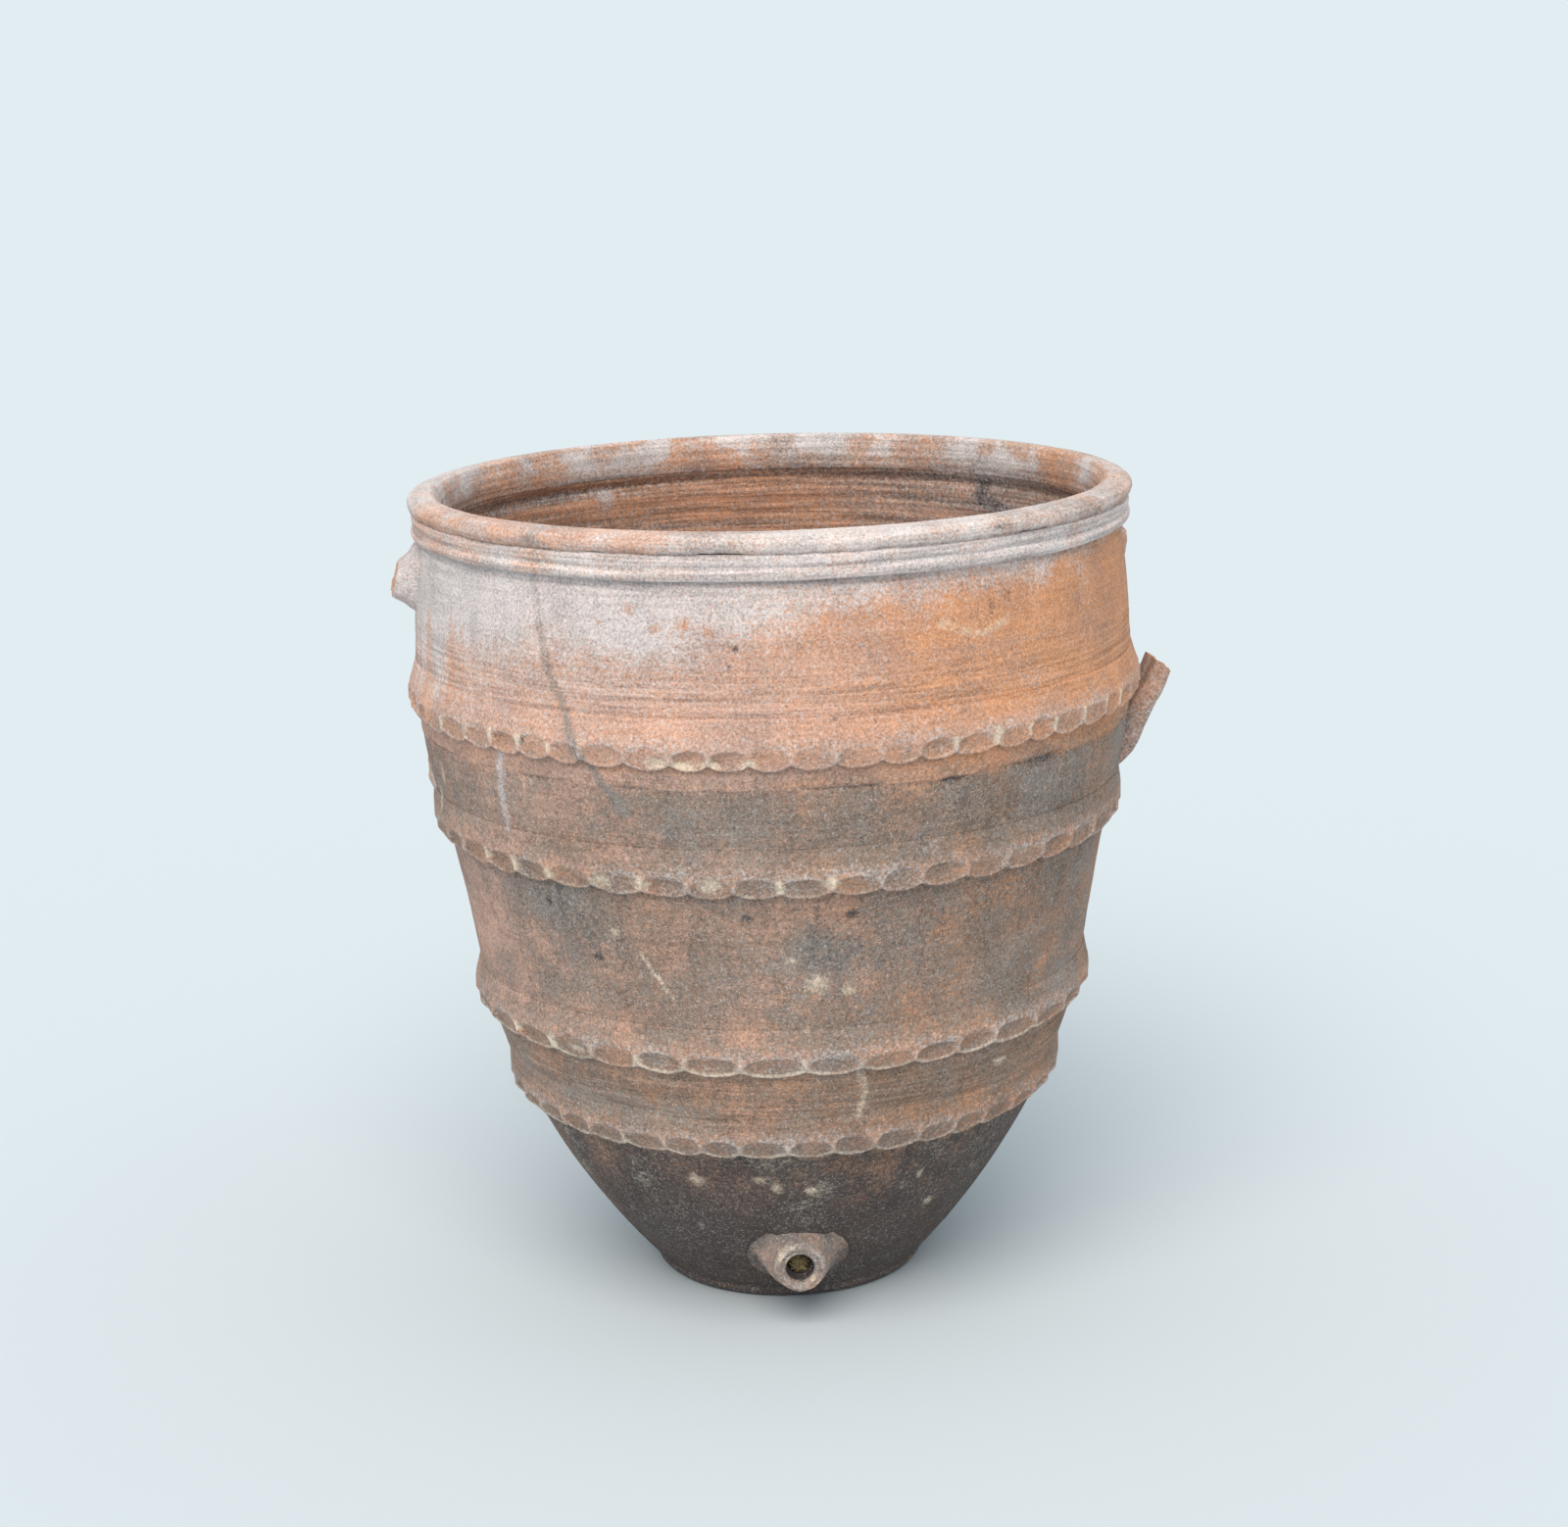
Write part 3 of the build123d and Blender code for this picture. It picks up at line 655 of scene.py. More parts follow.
# A rope of clay pressed on with the thumb. chips are (azimuth, height, half width, half height).
cordonForm = {
    "height": 34, "columns": 1536, "step": 0.8, "root": 4.0, "scallop": 4.2, "skin": 0.12, "most": 7.4,
    # how far it stands out, and how deep a thumb goes, at each height above its lower edge
    "profile": [(-2, 2.6), (0, 3.9), (2, 5.2), (4.5, 6.3), (8, 7.2), (12, 7.5), (17, 6.3), (24, 3.7), (30, 1.7),
                (34, 0.5)],
    "facet": [(0, 0.9), (3, 1.7), (7, 2.7), (11, 2.9), (15, 2.2), (17, 1.2)],
    "printMiddle": 7.2,
    "printTall": 8.6,
}
cordons = {
    "shoulder_cordon": {
        "name": "shoulderCordon", "low": 436.5, "prints": 58, "phase": 3.3, "seed": 11, "depth": 1.15, "skew": 1.0,
        "chips": [(-65.5, 446, 3, 6), (-52, 449, 3, 7), (-44.5, 449, 4, 6), (-37, 447, 3, 4), (-20, 441.5, 8, 5),
                  (-16, 439.5, 9, 4), (-12, 441, 8, 4), (-5, 441, 6, 5), (25, 447, 4, 5), (31.5, 447, 6, 8),
                  (37, 447, 2.6, 5), (43, 447, 2.4, 7), (48, 447, 2.2, 8), (54, 447, 2.2, 8), (60.5, 447, 2.4, 8),
                  (118, 446, 6, 7), (163, 443, 12, 5), (-110, 446, 3, 7), (-141, 444, 7, 6)],
        "warm": 0.26, "soilAndShade": 0.26, "wearShow": 0.35,
    },
    "middle_cordon": {
        "name": "middleCordon", "low": 346, "prints": 47, "phase": 1.5, "seed": 12, "depth": 1.0, "skew": 0.4,
        "chips": [(-57, 357, 6, 4), (-47.5, 356, 6, 6), (-39, 354, 6, 5), (-31, 355, 8, 6), (-22.5, 355, 7, 7),
                  (-13, 356, 10, 7), (-4.5, 355, 4, 6), (5, 356, 8, 5), (131, 355, 8, 6), (171, 356, 9, 6),
                  (-150, 355, 7, 6), (-104, 356, 6, 6)],
        "warm": 0.30, "soilAndShade": 0.58, "wearShow": 0.40,
    },
    "lower_cordon": {
        "name": "lowerCordon", "low": 213.5, "prints": 37, "phase": 4.8, "seed": 13, "depth": 1.15, "skew": 0.0,
        "chips": [(-61, 224, 7, 4), (-51, 222, 6, 4), (-42, 222, 9, 4), (-33, 221, 4, 5), (140, 223, 9, 5),
                  (-133, 222, 8, 4)],
        "warm": 0.30, "soilAndShade": 0.60, "wearShow": 0.95,
    },
    "foot_cordon": {
        "name": "footCordon", "low": 145.5, "prints": 42, "phase": 2.0, "seed": 14, "depth": 1.15, "skew": 0.2,
        "chips": [(-40, 150, 4, 4), (118, 152, 7, 4), (-160, 151, 6, 4)],
        "warm": 0.25, "soilAndShade": 0.66, "wearShow": 0.85,
    },
}


def makeCordon(node, cord):
    rng = np.random.default_rng(cord["seed"])
    columns, count, low = cordonForm["columns"], cord["prints"], cord["low"]
    azimuth = turns(columns)
    pitch = 2 * math.pi / count
    centres = (np.arange(count) + rng.uniform(-0.19, 0.19, count)) * pitch + math.radians(cord["phase"])
    edges = (centres + np.roll(centres, -1) + np.where(np.arange(count) == count - 1, 2 * math.pi, 0)) / 2
    wrapped = (azimuth - edges[-1]) % (2 * math.pi) + edges[-1]
    starts = np.concatenate(([edges[-1]], edges[:-1] + 2 * math.pi))
    which = np.clip(np.searchsorted(starts, wrapped, side="right") - 1, 0, count - 1)
    ends = np.concatenate((starts[1:], [starts[0] + 2 * math.pi]))
    u = np.clip(2 * (wrapped - starts[which]) / (ends - starts)[which] - 1, -1, 1)
    deep = (cord["depth"] * rng.uniform(0.45, 1.25, count))[which]
    lift = rng.uniform(-1.6, 1.3, count)[which]
    lean = rng.uniform(-1.0, 1.0, count)[which]
    spread = rng.uniform(0.85, 1.1, count)[which]
    shares = np.linspace(0, 1, round(cordonForm["height"] / cordonForm["step"])) ** 1.15
    lobe = cordonForm["scallop"] * np.abs(u) ** 2.4
    lowEdge = lobe - 0.6 + 0.5 * cloud(around(azimuth, 240.0, 0 * azimuth), 9.0, cord["seed"] + 5)
    climb = lowEdge + (cordonForm["height"] - lowEdge) * shares[:, None]
    turn = np.repeat(azimuth[None, :], len(shares), 0)
    height = low + climb
    spots = around(turn, outerAt(height), height)
    plain = np.interp(climb, *zip(*cordonForm["profile"]))
    middle = cordonForm["printMiddle"] + lift + 1.2 * lean * u
    tall = cordonForm["printTall"] * spread * np.sqrt(np.clip(1.04 - u * u, 0.02, 2))
    oval = np.clip(1 - ((climb - middle) / tall) ** 2, 0, 1) ** 0.40
    s = np.clip((u + 1) / 2, 0, 1)
    side = cord["skew"] * ease(turn, -0.3, 0.2) * (1 - ease(turn, 2.6, 3.1))
    even = np.clip(1 - (u / 0.92) ** 2, 0, 1) ** 0.42
    steep = np.clip(1.25 - 0.75 * s + 0.25 * lean * u, 0.2, 1.6)
    facet = np.interp(climb, *zip(*cordonForm["facet"]))
    dish = deep * facet * oval * even * (steep * side + 1 - side)
    ridge = 1.5 * bell(np.abs(u) - 1, 0.17) * ease(climb, 1, 6) * ease(-climb, -19, -12)
    lip = 1.1 * bell(climb - lowEdge, 1.8) * (1 - np.abs(u) ** 3)
    rough = 0.35 * cloud(spots, 22.0, cord["seed"] + 1) + 0.16 * cloud(spots, 4.5, cord["seed"] + 2, 2)
    chipped = 0
    for chip in cord["chips"]:
        if chip[2] < 8:  # a small chip sits on the nearest ridge
            away = (edges - math.radians(chip[0]) + math.pi) % (2 * math.pi) - math.pi
            chip = (chip[0] + math.degrees(away[np.argmin(np.abs(away))]), *chip[1:])
        chipped = np.maximum(chipped, spot(turn, height, chip))
    bite = ease(chipped + 0.18 * cloud(spots, 4.5, cord["seed"] + 3), 0.3, 0.7)
    fade = ease(-climb, -34, -28)
    thick = plain + (rough + ridge + lip) * fade - dish - bite * (0.9 + 0.35 * cloud(spots, 3.5, cord["seed"] + 4))
    thick = np.maximum(thick, cordonForm["skin"] + 0.9 * fade)
    radius = outerAt(height) + wallMarks(turn, height) * ease(climb, 20, 34) + thick
    radius = np.minimum(radius, outerAt(low + 12) + cordonForm["most"])
    buriedLow = around(azimuth, outerAt(height[0]) - cordonForm["root"], height[0] + 0.6)
    underLip = around(azimuth, outerAt(height[0]) + 0.4, height[0] + 0.5)
    buriedTop = around(azimuth, outerAt(height[-1]) - cordonForm["root"], height[-1] - 0.5)
    rows = [buriedLow, underLip, *around(turn, radius, height), buriedTop]
    points = np.concatenate(rows)
    fade = ease(climb, 15, 27)
    patchy, broad = cloud(spots, 20.0, cord["seed"] + 6, 2), cloud(spots, 80.0, cord["seed"] + 7)
    fine = cloud(spots, 5.0, cord["seed"] + 8, 2)
    wall = wallTones(turn, height)
    rimmed = bell(climb - lowEdge - 1.6, 1.6) + 0.4 * ridge
    pressed = np.clip(dish / 2.6, 0, 1)
    degrees = np.degrees(turn)
    rightSide = ease(degrees, 0, 45) * (1 - ease(degrees, 130, 170))
    crest = bell(np.abs(u) - 1, 0.14) * ease(-climb, -20, -14)
    printEdge = bell(np.hypot(u, (climb - middle) / cordonForm["printTall"]) - 1.0, 0.15) * ease(-climb, -19, -15)
    # each thumb print's hollow is painted darker, more orange and soiled on its left half: painted shade and dirt
    warm = cord["warm"] + 0.35 * rightSide + 0.45 * pressed * (1 - s) + 0.2 * broad
    soilAndShade = cord["soilAndShade"] + 0.14 * patchy + 0.16 * pressed * (1 - s) - 0.12 * crest
    lime = 0.16 + 0.12 * patchy + 0.16 * printEdge + 0.12 * ease(climb, 12, 17) * (1 - pressed)
    lime += 0.12 * np.clip(rimmed, 0, 1) * cord["wearShow"]
    # the lowest 1.4 mm of the face, where the lip turns under, is painted dark: painted shade
    dark = 0.05 + 0.06 * fine + 0.42 * ease(1.4 - (climb - lowEdge), 0, 1.4)
    dark += 0.10 * pressed * (1 - s) + 0.12 * (node == "foot_cordon")
    for blot in wear["blackSpots"]:
        dark += 0.7 * spot(turn, height, blot)
    ash = 0.10 + 0.10 * patchy + 0.5 * streak(turn, height, wear["vein"], 9) + cord["soilAndShade"] * 0.25
    cream = 0.08 + 0.72 * chipped + cord["wearShow"] * np.clip(rimmed, 0, 1) * (0.40 + 0.25 * patchy)
    mine = blendTones(toneSet(warm, soilAndShade, ash, dark, lime, cream, 0.15), wall, fade)
    tones = {tone: np.concatenate((values[0], values[0], values.ravel(), values[-1])) for tone, values in mine.items()}
    for tone, least in (("dark", 0.85), ("soilAndShade", 0.6)):  # the rows under the lip get the dark and soil colours: painted shade
        tones[tone][:columns * 2] = least
    faces = ringFaces(len(rows), columns).tolist()
    return putPiece(cord["name"], points, faces, tones, clays["pressedEarthenware"], node, crease=70)


for node, cord in cordons.items():
    makeCordon(node, cord)
    print("made", node)


def station(turn, out, height, tilt, width, thickness, count):  # oval across a strap that leaves the wall at turn
    steps = circle(count)
    outward = outwardAt(turn)
    sideways = np.array([math.cos(turn), math.sin(turn), 0])
    lean = math.radians(tilt)
    upward = -math.sin(lean) * outward + math.cos(lean) * np.array([0, 0, 1.0])
    centre = outward * out + np.array([0, 0, height])
    flatter = 0.82  # squarer than an ellipse, as a pulled strap is
    wide = np.sign(np.cos(steps)) * np.abs(np.cos(steps)) ** flatter * width / 2
    thick = np.sign(np.sin(steps)) * np.abs(np.sin(steps)) ** flatter * thickness / 2
    return centre + np.outer(wide, sideways) + np.outer(thick, upward)


# Each root or stump is lofted through ovals: (out from the axis, height, tilt, width, thickness)
handles = {
    "left_handle_upper_stub": {
        "name": "leftUpperStub", "turn": -85.5, "slot": "pink_clay", "clay": "wipedEarthenware", "seed": 81,
        "ovals": [(246, 531, 0, 60, 56), (253.5, 531, 0, 56, 52), (257.5, 530.7, 3, 50, 45), (262, 530.2, 7, 45.5, 35),
                  (267, 530, 11, 43, 28.5), (270.2, 530.3, 14, 41, 24)],
        "torn": 1.6, "ridges": 0.7, "warm": 0.15, "lime": 0.72, "soilAndShade": 0.05, "dark": 0.06, "tornWarm": 0.9,
    },
    "left_handle_lower_scar": {
        "name": "leftLowerScar", "turn": -85.5, "slot": "brown_clay", "clay": "weatheredEarthenware", "seed": 82,
        "ovals": [(236, 386, 0, 54, 33), (246.5, 386, 0, 50, 30), (250.5, 387, 0, 42, 24), (253.6, 390, 0, 32, 15)],
        "torn": 1.1, "ridges": 0.3, "warm": 0.5, "lime": 0.35, "soilAndShade": 0.35, "dark": 0.1, "tornWarm": 0.5,
    },
    "right_handle_upper_scar": {
        "name": "rightUpperScar", "turn": 94.5, "slot": "pink_clay", "clay": "wipedEarthenware", "seed": 83,
        "ovals": [(244, 530.5, 0, 54, 33), (254.5, 530.5, 0, 50, 30), (257.3, 531.5, 0, 42, 24),
                  (259.6, 536, 0, 32, 14)],
        "torn": 1.0, "ridges": 0.3, "warm": 0.7, "lime": 0.35, "soilAndShade": 0.15, "dark": 0.1, "tornWarm": 0.9,
    },
    "right_handle_lower_stub": {
        "name": "rightLowerStub", "turn": 94.5, "slot": "brown_clay", "clay": "weatheredEarthenware", "seed": 84,
        "ovals": [(238, 383, 0, 58, 50), (249, 385, 12, 53, 44), (259, 390.5, 32, 47, 31), (269, 407.5, 51, 43, 21.5),
                  (274.5, 416, 58, 41.5, 19.5), (280.4, 425, 63, 41, 18.5), (287, 440.5, 52, 40.5, 18)],
        "torn": 1.5, "ridges": 0.9, "warm": 0.35, "lime": 0.30, "soilAndShade": 0.42, "dark": 0.16, "tornWarm": 1.0,
    },
}


def makeHandlePart(node, part):
    count, turn = 96, math.radians(part["turn"])
    ovals = np.array(part["ovals"], float)
    knots = np.arange(len(ovals))
    fine = np.linspace(0, len(ovals) - 1, (len(ovals) - 1) * 14 + 1)
    smooth = np.column_stack([np.interp(fine, knots, column) for column in ovals.T])
    for _ in range(14):  # relax the corners between ovals
        smooth[1:-1] = smooth[1:-1] * 0.5 + (smooth[:-2] + smooth[2:]) * 0.25
    rings = [station(turn, *oval, count) for oval in smooth]
    points = np.array(rings)
    middle = points.mean(1, keepdims=True)
    outward = points - middle
    lengths = np.linalg.norm(outward, axis=2, keepdims=True)
    steps = circle(count)
    share = np.linspace(0, 1, len(points))[:, None]
    grooves = part["ridges"] * np.sin(3 * np.cos(steps) * 3.4 + part["seed"]) * ease(share, 0.1, 0.5)
    lumps = 0.5 * cloud(points, 16.0, part["seed"], 2) + 0.2 * cloud(points, 4.0, part["seed"] + 1)
    points = points + outward / lengths * (grooves * np.abs(np.sin(steps)) + lumps)[..., None]
    last, centre = points[-1], points[-1].mean(0)
    lean = math.radians(ovals[-1, 2])
    ahead = math.cos(lean) * outwardAt(turn) + math.sin(lean) * np.array([0, 0, 1.0])
    caps = []
    for shrink in (0.93, 0.82, 0.66, 0.48, 0.3, 0.12):
        ring = centre + (last - centre) * shrink
        jagged = cloud(ring, 7.0, part["seed"] + 2, 3) * part["torn"] - 0.5 * part["torn"] * (1 - shrink)
        caps.append(ring + np.outer(jagged, ahead))
    allRings = np.concatenate((points, np.array(caps)))
    flat = np.vstack((allRings.reshape(-1, 3), points[0].mean(0), caps[-1].mean(0)))
    faces = ringFaces(len(allRings), count, False).tolist() + capFaces(len(allRings), count)
    patchy, small = cloud(flat, 13.0, part["seed"] + 3, 3), cloud(flat, 4.0, part["seed"] + 4, 2)
    torn = np.zeros(len(flat))
    torn[len(points) * count:] = 1
    torn[-2] = 0  # the middle of the buried end
    torn[(len(points) - 1) * count:len(points) * count] = 0.7
    tones = {"warm": part["warm"] + 0.3 * patchy + (part["tornWarm"] - part["warm"]) * torn,
             "soilAndShade": part["soilAndShade"] * (1 - 0.7 * torn) + 0.2 * patchy, "ash": 0.2 + 0.25 * patchy * (1 - torn),
             "dark": part["dark"] + 0.15 * small, "lime": part["lime"] * (1 - 0.6 * torn) + 0.2 * patchy,
             "cream": 0.3 * np.clip(small, 0, 1) * torn}
    if node == "right_handle_lower_stub":  # its wall side is in shade and dirt
        inward = np.clip(-(flat - flat.mean(0)) @ outwardAt(turn) / 22, 0, 1)
        tones["dark"] += 0.5 * inward * (1 - torn)
    return putPiece(part["name"], flat, faces, tones, clays[part["clay"]], node, crease=60)


for node, part in handles.items():
    makeHandlePart(node, part)
    print("made", node)

# The spout, as rings from its root on the wall to its lip, then down the bore: (distance along, radius)
spout = {
    "face": 160.0, "columns": 160, "throat": 8.5, "spigot": 15.0, "spigotStart": 145.0, "sunk": 5, "ring": 1.4,
    "flare": [(0, 36.5), (0.10, 33.5), (0.25, 29.8), (0.45, 25.6), (0.65, 22.4), (0.82, 19.9), (0.93, 18.4),
              (1.0, 17.0)],
    "lip": [(0.2, 16.2), (0.55, 15.0), (0.55, 13.6), (0.2, 12.3), (-0.6, 11.2), (-1.8, 10.4), (-3.5, 10.0),
            (-7, 10.0), (-12, 9.9), (-12.4, 8.6), (-20, 8.5), (-30, 8.5), (-40, 8.5)],
}


def makeSpout():
    count = spout["columns"]
    steps = circle(count)
    height = drain["height"]
    slope = float(outerAt(height + 1) - outerAt(height - 1)) / 2
    out = np.array([0, -1, -slope]) / math.hypot(1, slope)
    root = np.array([0, -float(outerAt(height)), height]) - out * spout["sunk"]
    upRoot = np.array([0, -slope, 1]) / math.hypot(1, slope)
    face = np.array([0, -spout["face"] + 0.6, height])
    side = np.array([1.0, 0, 0])
    rings = []
    for share, radius in spout["flare"]:
        upright = upRoot * (1 - share) + np.array([0, 0, 1.0]) * share
        centre = root * (1 - share) + face * share
        rings.append(centre + radius * (np.outer(np.sin(steps), side) + np.outer(np.cos(steps), upright)))
    for ahead, radius in spout["lip"]:
        worn = np.where(np.cos(steps) < 0, 1 + 0.16 * np.cos(steps) ** 4 * (radius < 14) * (ahead > -3), 1)
        ring = np.outer(np.sin(steps) * radius, side) + np.outer(np.cos(steps) * radius * worn, [0, 0, 1.0])
        rings.append(face + ring + np.array([0, -min(ahead, 0.6), 0]))
    inner = -float(innerAt(height)) + 0.8
    for radius, back in ((spout["throat"], inner), (spout["spigot"], inner), (spout["spigot"], -spout["spigotStart"])):
        ring = np.outer(np.sin(steps), side) + np.outer(np.cos(steps), [0, 0, 1.0])
        rings.append(np.array([0, back, height]) + radius * ring)
    rings.append(np.array(rings[0]) - out * -3)
    points = np.array(rings)
    fineRings = []
    for first, second in zip(points, points[1:]):
        gap = np.linalg.norm(second - first, axis=1).max()
        parts = max(1, int(gap / spout["ring"]))
        fineRings += [first + (second - first) * (n / parts) for n in range(parts)]
    points = np.array(fineRings + [points[-1]])
    middle = np.array([0, 0, height])
    radial = points - middle
    radial[..., 1] = 0
    reach = np.linalg.norm(radial, axis=2, keepdims=True)
    outside = points[..., 1] > -spout["face"] + 0.2
    rough = 0.7 * cloud(points, 14.0, 91, 2) + 0.3 * cloud(points, 3.5, 92, 2)
    free = ease(-points[..., 1], 128, 140) * np.where(reach[..., 0] > 11, 1.0, 0.35)
    points = points + radial / np.maximum(reach, 1) * (free * rough)[..., None]
    dents = 0.5 * free * cloud(points, 6.0, 93, 2) * (reach[..., 0] > 10.5)
    points[..., 1] = np.maximum(points[..., 1] + dents, -spout["face"] - 0.2)
    # the bore is painted dark from a few mm inside the lip, and darker still further in: painted shade
    deep = ease(points[..., 1], -158.5, -152) * (reach[..., 0] < 12.5)
    patchy, small = cloud(points, 12.0, 94, 3), cloud(points, 4.0, 95, 2)
    nearFace = ease(-points[..., 1], 153, 159) * outside
    angle = np.degrees(np.arctan2(points[..., 0], points[..., 2] - height))
    chip = nearFace * bell(angle - 138, 22)
    pale = nearFace * bell(angle + 45, 30)
    tones = {"warm": 0.35 + 0.3 * patchy + 0.9 * chip, "soilAndShade": 0.55 + 0.2 * patchy - 0.5 * chip,
             "ash": 0.70 + 0.2 * patchy, "dark": 0.30 + 0.2 * patchy - 0.25 * nearFace - 0.4 * chip + 1.1 * deep
             + 0.35 * ease(points[..., 1], -146, -134),
             "lime": 0.22 * nearFace + 0.25 * patchy, "cream": 0.8 * pale + 0.45 * chip + 0.35 * nearFace * small}
    faces = ringFaces(len(points), count, False)[:, ::-1].tolist()
    return putPiece("outletSpout", points.reshape(-1, 3), faces, tones, clays["dampEarthenware"], "outlet_nozzle",
                    crease=65)


makeSpout()
print("made outlet_nozzle")

# Straw and soil packed into the throat: dull gold fibres in black earth
wad = {"face": -147.6, "back": -127.8, "radius": 8.1, "straws": 46, "strawRadius": 0.32, "earth": "#2A231C",
       "straw": "#9C8A63", "fibre": 0.8}


def makeStraw():
    material, tree, place = newMaterial("dampStraw")
    fibres = noise(tree, place, wad["fibre"], 4)
    mask = remap(tree, calculate(tree, "MULTIPLY_ADD", fibres, 0.7, readTone(tree, "strawShare")), 0.35, 1.2)
    colour = blend(tree, mask, linear(wad["earth"]), linear(wad["straw"]))
    relief = addNode(tree, "ShaderNodeBump", {"Strength": 0.8, "Distance": 0.4 * mm, "Height": fibres}).outputs[0]
    shader = addNode(tree, "ShaderNodeBsdfPrincipled", {
        "Base Color": colour, "Normal": relief, "Roughness": 0.85, "IOR": 1.5, "Specular IOR Level": 0.3}).outputs[0]
    addNode(tree, "ShaderNodeOutputMaterial", {"Surface": shader})
    return material


def makeWad():
    rng = np.random.default_rng(97)
    count = 48
    steps = circle(count)
    height, radius = drain["height"], wad["radius"]
    profile = [(wad["face"], 0.15), (wad["face"], 0.45), (wad["face"], 0.75), (wad["face"] + 0.6, 0.93),
               (wad["face"] + 2, 1.0), (wad["back"] - 8, 1.0), (wad["back"] - 1.5, 0.98), (wad["back"], 0.8),
               (wad["back"], 0.4), (wad["back"], 0.1)]
    rings = []
    for ahead, share in profile:
        across, up = radius * share * np.sin(steps), height + radius * share * np.cos(steps)
        rings.append(np.column_stack((across, np.full(count, ahead), up)))
    points = np.concatenate(rings)
    points[:, 1] += np.where(points[:, 1] < wad["face"] + 1, 1.1 * cloud(points, 3.5, 98, 2) + 1.0, 0)
    faces = ringFaces(len(profile), count, False)[:, ::-1].tolist()
    faces += [list(range(count - 1, -1, -1))[::-1], [(len(profile) - 1) * count + c for c in range(count)][::-1]]
    tones = [np.full(len(points), 0.12)]
    verts = [points]
    start = len(points)
    for _ in range(wad["straws"]):  # short bent stalks lying every way across the end
        centre = rng.uniform(-0.62, 0.62, 2) * radius
        heading, lift = rng.uniform(0, math.pi), rng.uniform(-0.35, 0.35)
        length, bend = rng.uniform(4.0, 8.5), rng.uniform(-0.8, 0.8)
        depth = wad["face"] - rng.uniform(-1.0, 0.9)
        sides, joints = 6, 7
        along = np.linspace(-0.5, 0.5, joints)
        lineX = centre[0] + length * along * math.cos(heading) - bend * (along**2) * 4 * math.sin(heading)
        lineZ = height + centre[1] + length * along * math.sin(heading) + bend * (along**2) * 4 * math.cos(heading)
        reach = np.hypot(lineX, lineZ - height)
        keep = np.minimum(1, (radius - 0.5) / np.maximum(reach, 0.1))
        lineX, lineZ = lineX * keep, height + (lineZ - height) * keep
        lineY = depth + lift * length * along * 0.5
        turnSteps = circle(sides)
        tube = []
        for x, y, z, near in zip(lineX, lineY, lineZ, along):
            thin = wad["strawRadius"] * (1 - 0.5 * abs(near))
            tube.append(np.column_stack((x - thin * np.cos(turnSteps) * math.sin(heading), y + thin * np.sin(turnSteps),
                                         z + thin * np.cos(turnSteps) * math.cos(heading))))
        verts.append(np.concatenate(tube))
        faces += (ringFaces(joints, sides, False) + start).tolist()
        faces += [[start + n for n in range(sides)][::-1], [start + (joints - 1) * sides + n for n in range(sides)]]
        tones.append(np.full(joints * sides, rng.uniform(0.45, 1.0)))
        start += joints * sides
    return putPiece("strawWad", np.concatenate(verts), faces, {"strawShare": np.concatenate(tones)}, makeStraw(),
                    "outlet_wad", body="wad")


makeWad()
print("made outlet_wad")

# Studio: a pale matt floor under a bright even sky, and one very large soft lamp from the front left
studio = {
    "skyColour": "#E2EDF2",
    "floorSize": 600,  # metres
    "lampFrom": (-0.18, -0.80, 1.0),
    "lampStrength": 2.4,
    "lampColour": "#FFF7EE",
    "lampAngle": 45,  # degrees across, for soft edges to the shadows
}


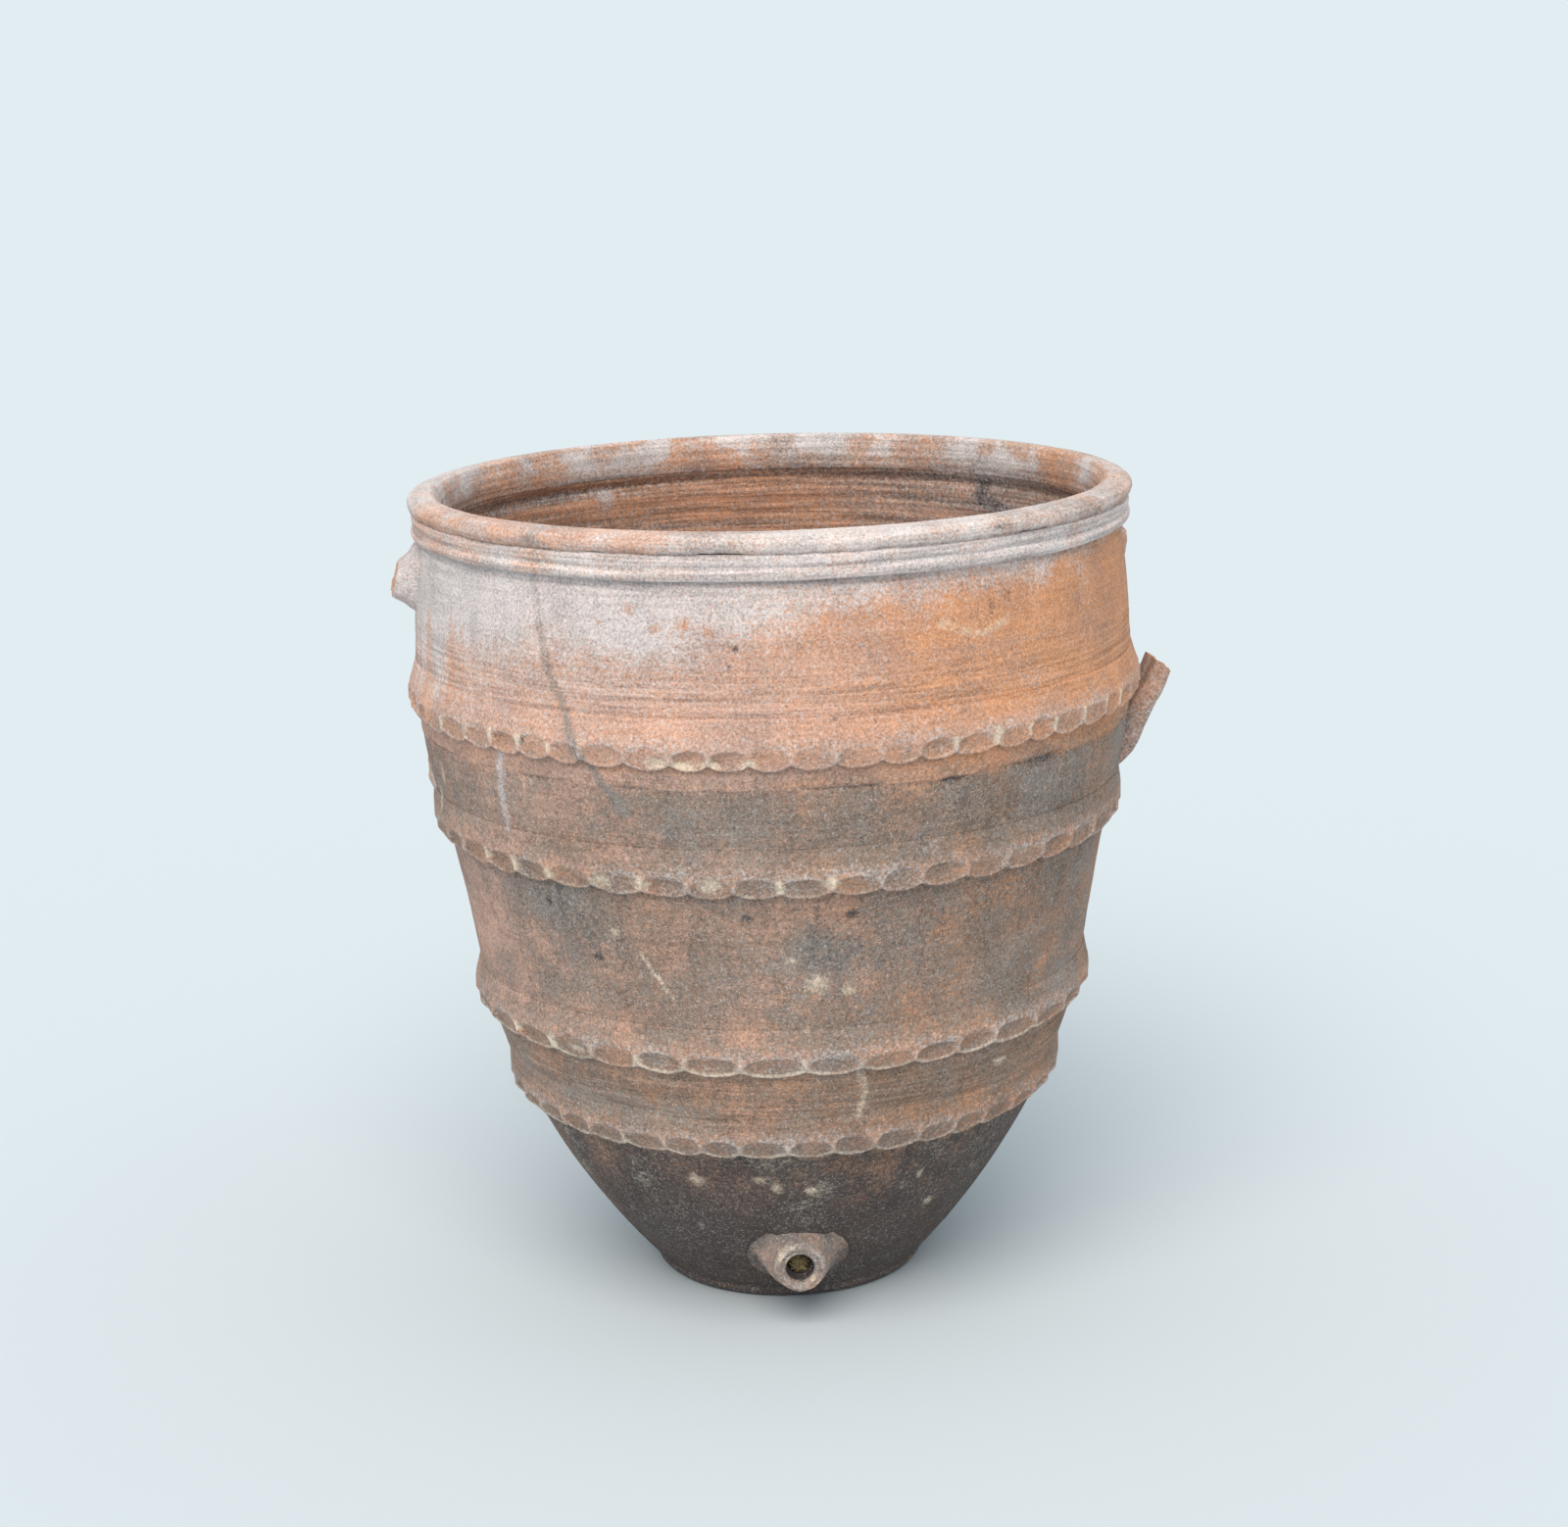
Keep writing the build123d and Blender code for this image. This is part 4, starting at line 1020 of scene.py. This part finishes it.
def makeStudio():
    sky, lampColour = np.array(linear(studio["skyColour"])[:3]), np.array(linear(studio["lampColour"])[:3])
    steepness = studio["lampFrom"][2] / math.hypot(*studio["lampFrom"])
    lit = sky + lampColour * studio["lampStrength"] * steepness / math.pi
    bpy.ops.mesh.primitive_plane_add(size=studio["floorSize"], location=(0, 0, -0.0004))
    ground = bpy.context.object
    ground.name = "paleFloor"
    material, tree, place = newMaterial("paleLimewash")  # matt limewash, just pale enough to fade into the sky
    shade = remap(tree, noise(tree, place, 3, 3), 0, 1, 0.985, 1.015)
    colour = addNode(tree, "ShaderNodeHueSaturation", {"Color": (*(sky / lit), 1), "Value": shade}).outputs[0]
    shader = addNode(tree, "ShaderNodeBsdfDiffuse", {"Color": colour}).outputs[0]
    addNode(tree, "ShaderNodeOutputMaterial", {"Surface": shader})
    ground.data.materials.append(material)
    world = bpy.data.worlds.new("studioSky")
    bpy.context.scene.world = world
    world.use_nodes = True
    world.node_tree.nodes["Background"].inputs["Color"].default_value = (*sky, 1)
    lamp = bpy.data.lights.new("softLamp", "SUN")
    lamp.energy, lamp.color, lamp.angle = studio["lampStrength"], lampColour, math.radians(studio["lampAngle"])
    holder = bpy.data.objects.new("softLamp", lamp)
    bpy.context.scene.collection.objects.link(holder)
    holder.rotation_euler = Vector(studio["lampFrom"]).to_track_quat("Z", "Y").to_euler()
    bpy.context.scene.view_settings.view_transform = "Standard"


makeStudio()

# The photo's own viewpoint, in millimetres and degrees
viewpoint = {"distance": 2172, "height": 900, "turn": 2.5, "heading": 2.643, "pitch": 13.5, "roll": 1.54, "lens": 69.75,
             "sensor": 36}


def makeCamera():
    turn, heading = math.radians(viewpoint["turn"]), math.radians(viewpoint["heading"])
    pitch, roll = math.radians(viewpoint["pitch"]), math.radians(viewpoint["roll"])
    back = viewpoint["distance"]
    place = np.array([-back * math.sin(turn), -back * math.cos(turn), viewpoint["height"]])
    ahead = np.array([math.sin(heading) * math.cos(pitch), math.cos(heading) * math.cos(pitch), -math.sin(pitch)])
    right = np.array([math.cos(heading), -math.sin(heading), 0])
    up = np.cross(right, ahead)
    rightRolled = math.cos(roll) * right - math.sin(roll) * up
    upRolled = math.cos(roll) * up + math.sin(roll) * right
    matrix = np.eye(4)
    matrix[:3, 0], matrix[:3, 1], matrix[:3, 2], matrix[:3, 3] = rightRolled, upRolled, -ahead, place * mm
    lens = bpy.data.cameras.new("jarCamera")
    lens.lens, lens.sensor_width = viewpoint["lens"], viewpoint["sensor"]
    camera = bpy.data.objects.new("jarCamera", lens)
    bpy.context.scene.collection.objects.link(camera)
    camera.matrix_world = Matrix(matrix.tolist())
    bpy.context.scene.camera = camera


makeCamera()
print("studio and camera ready")
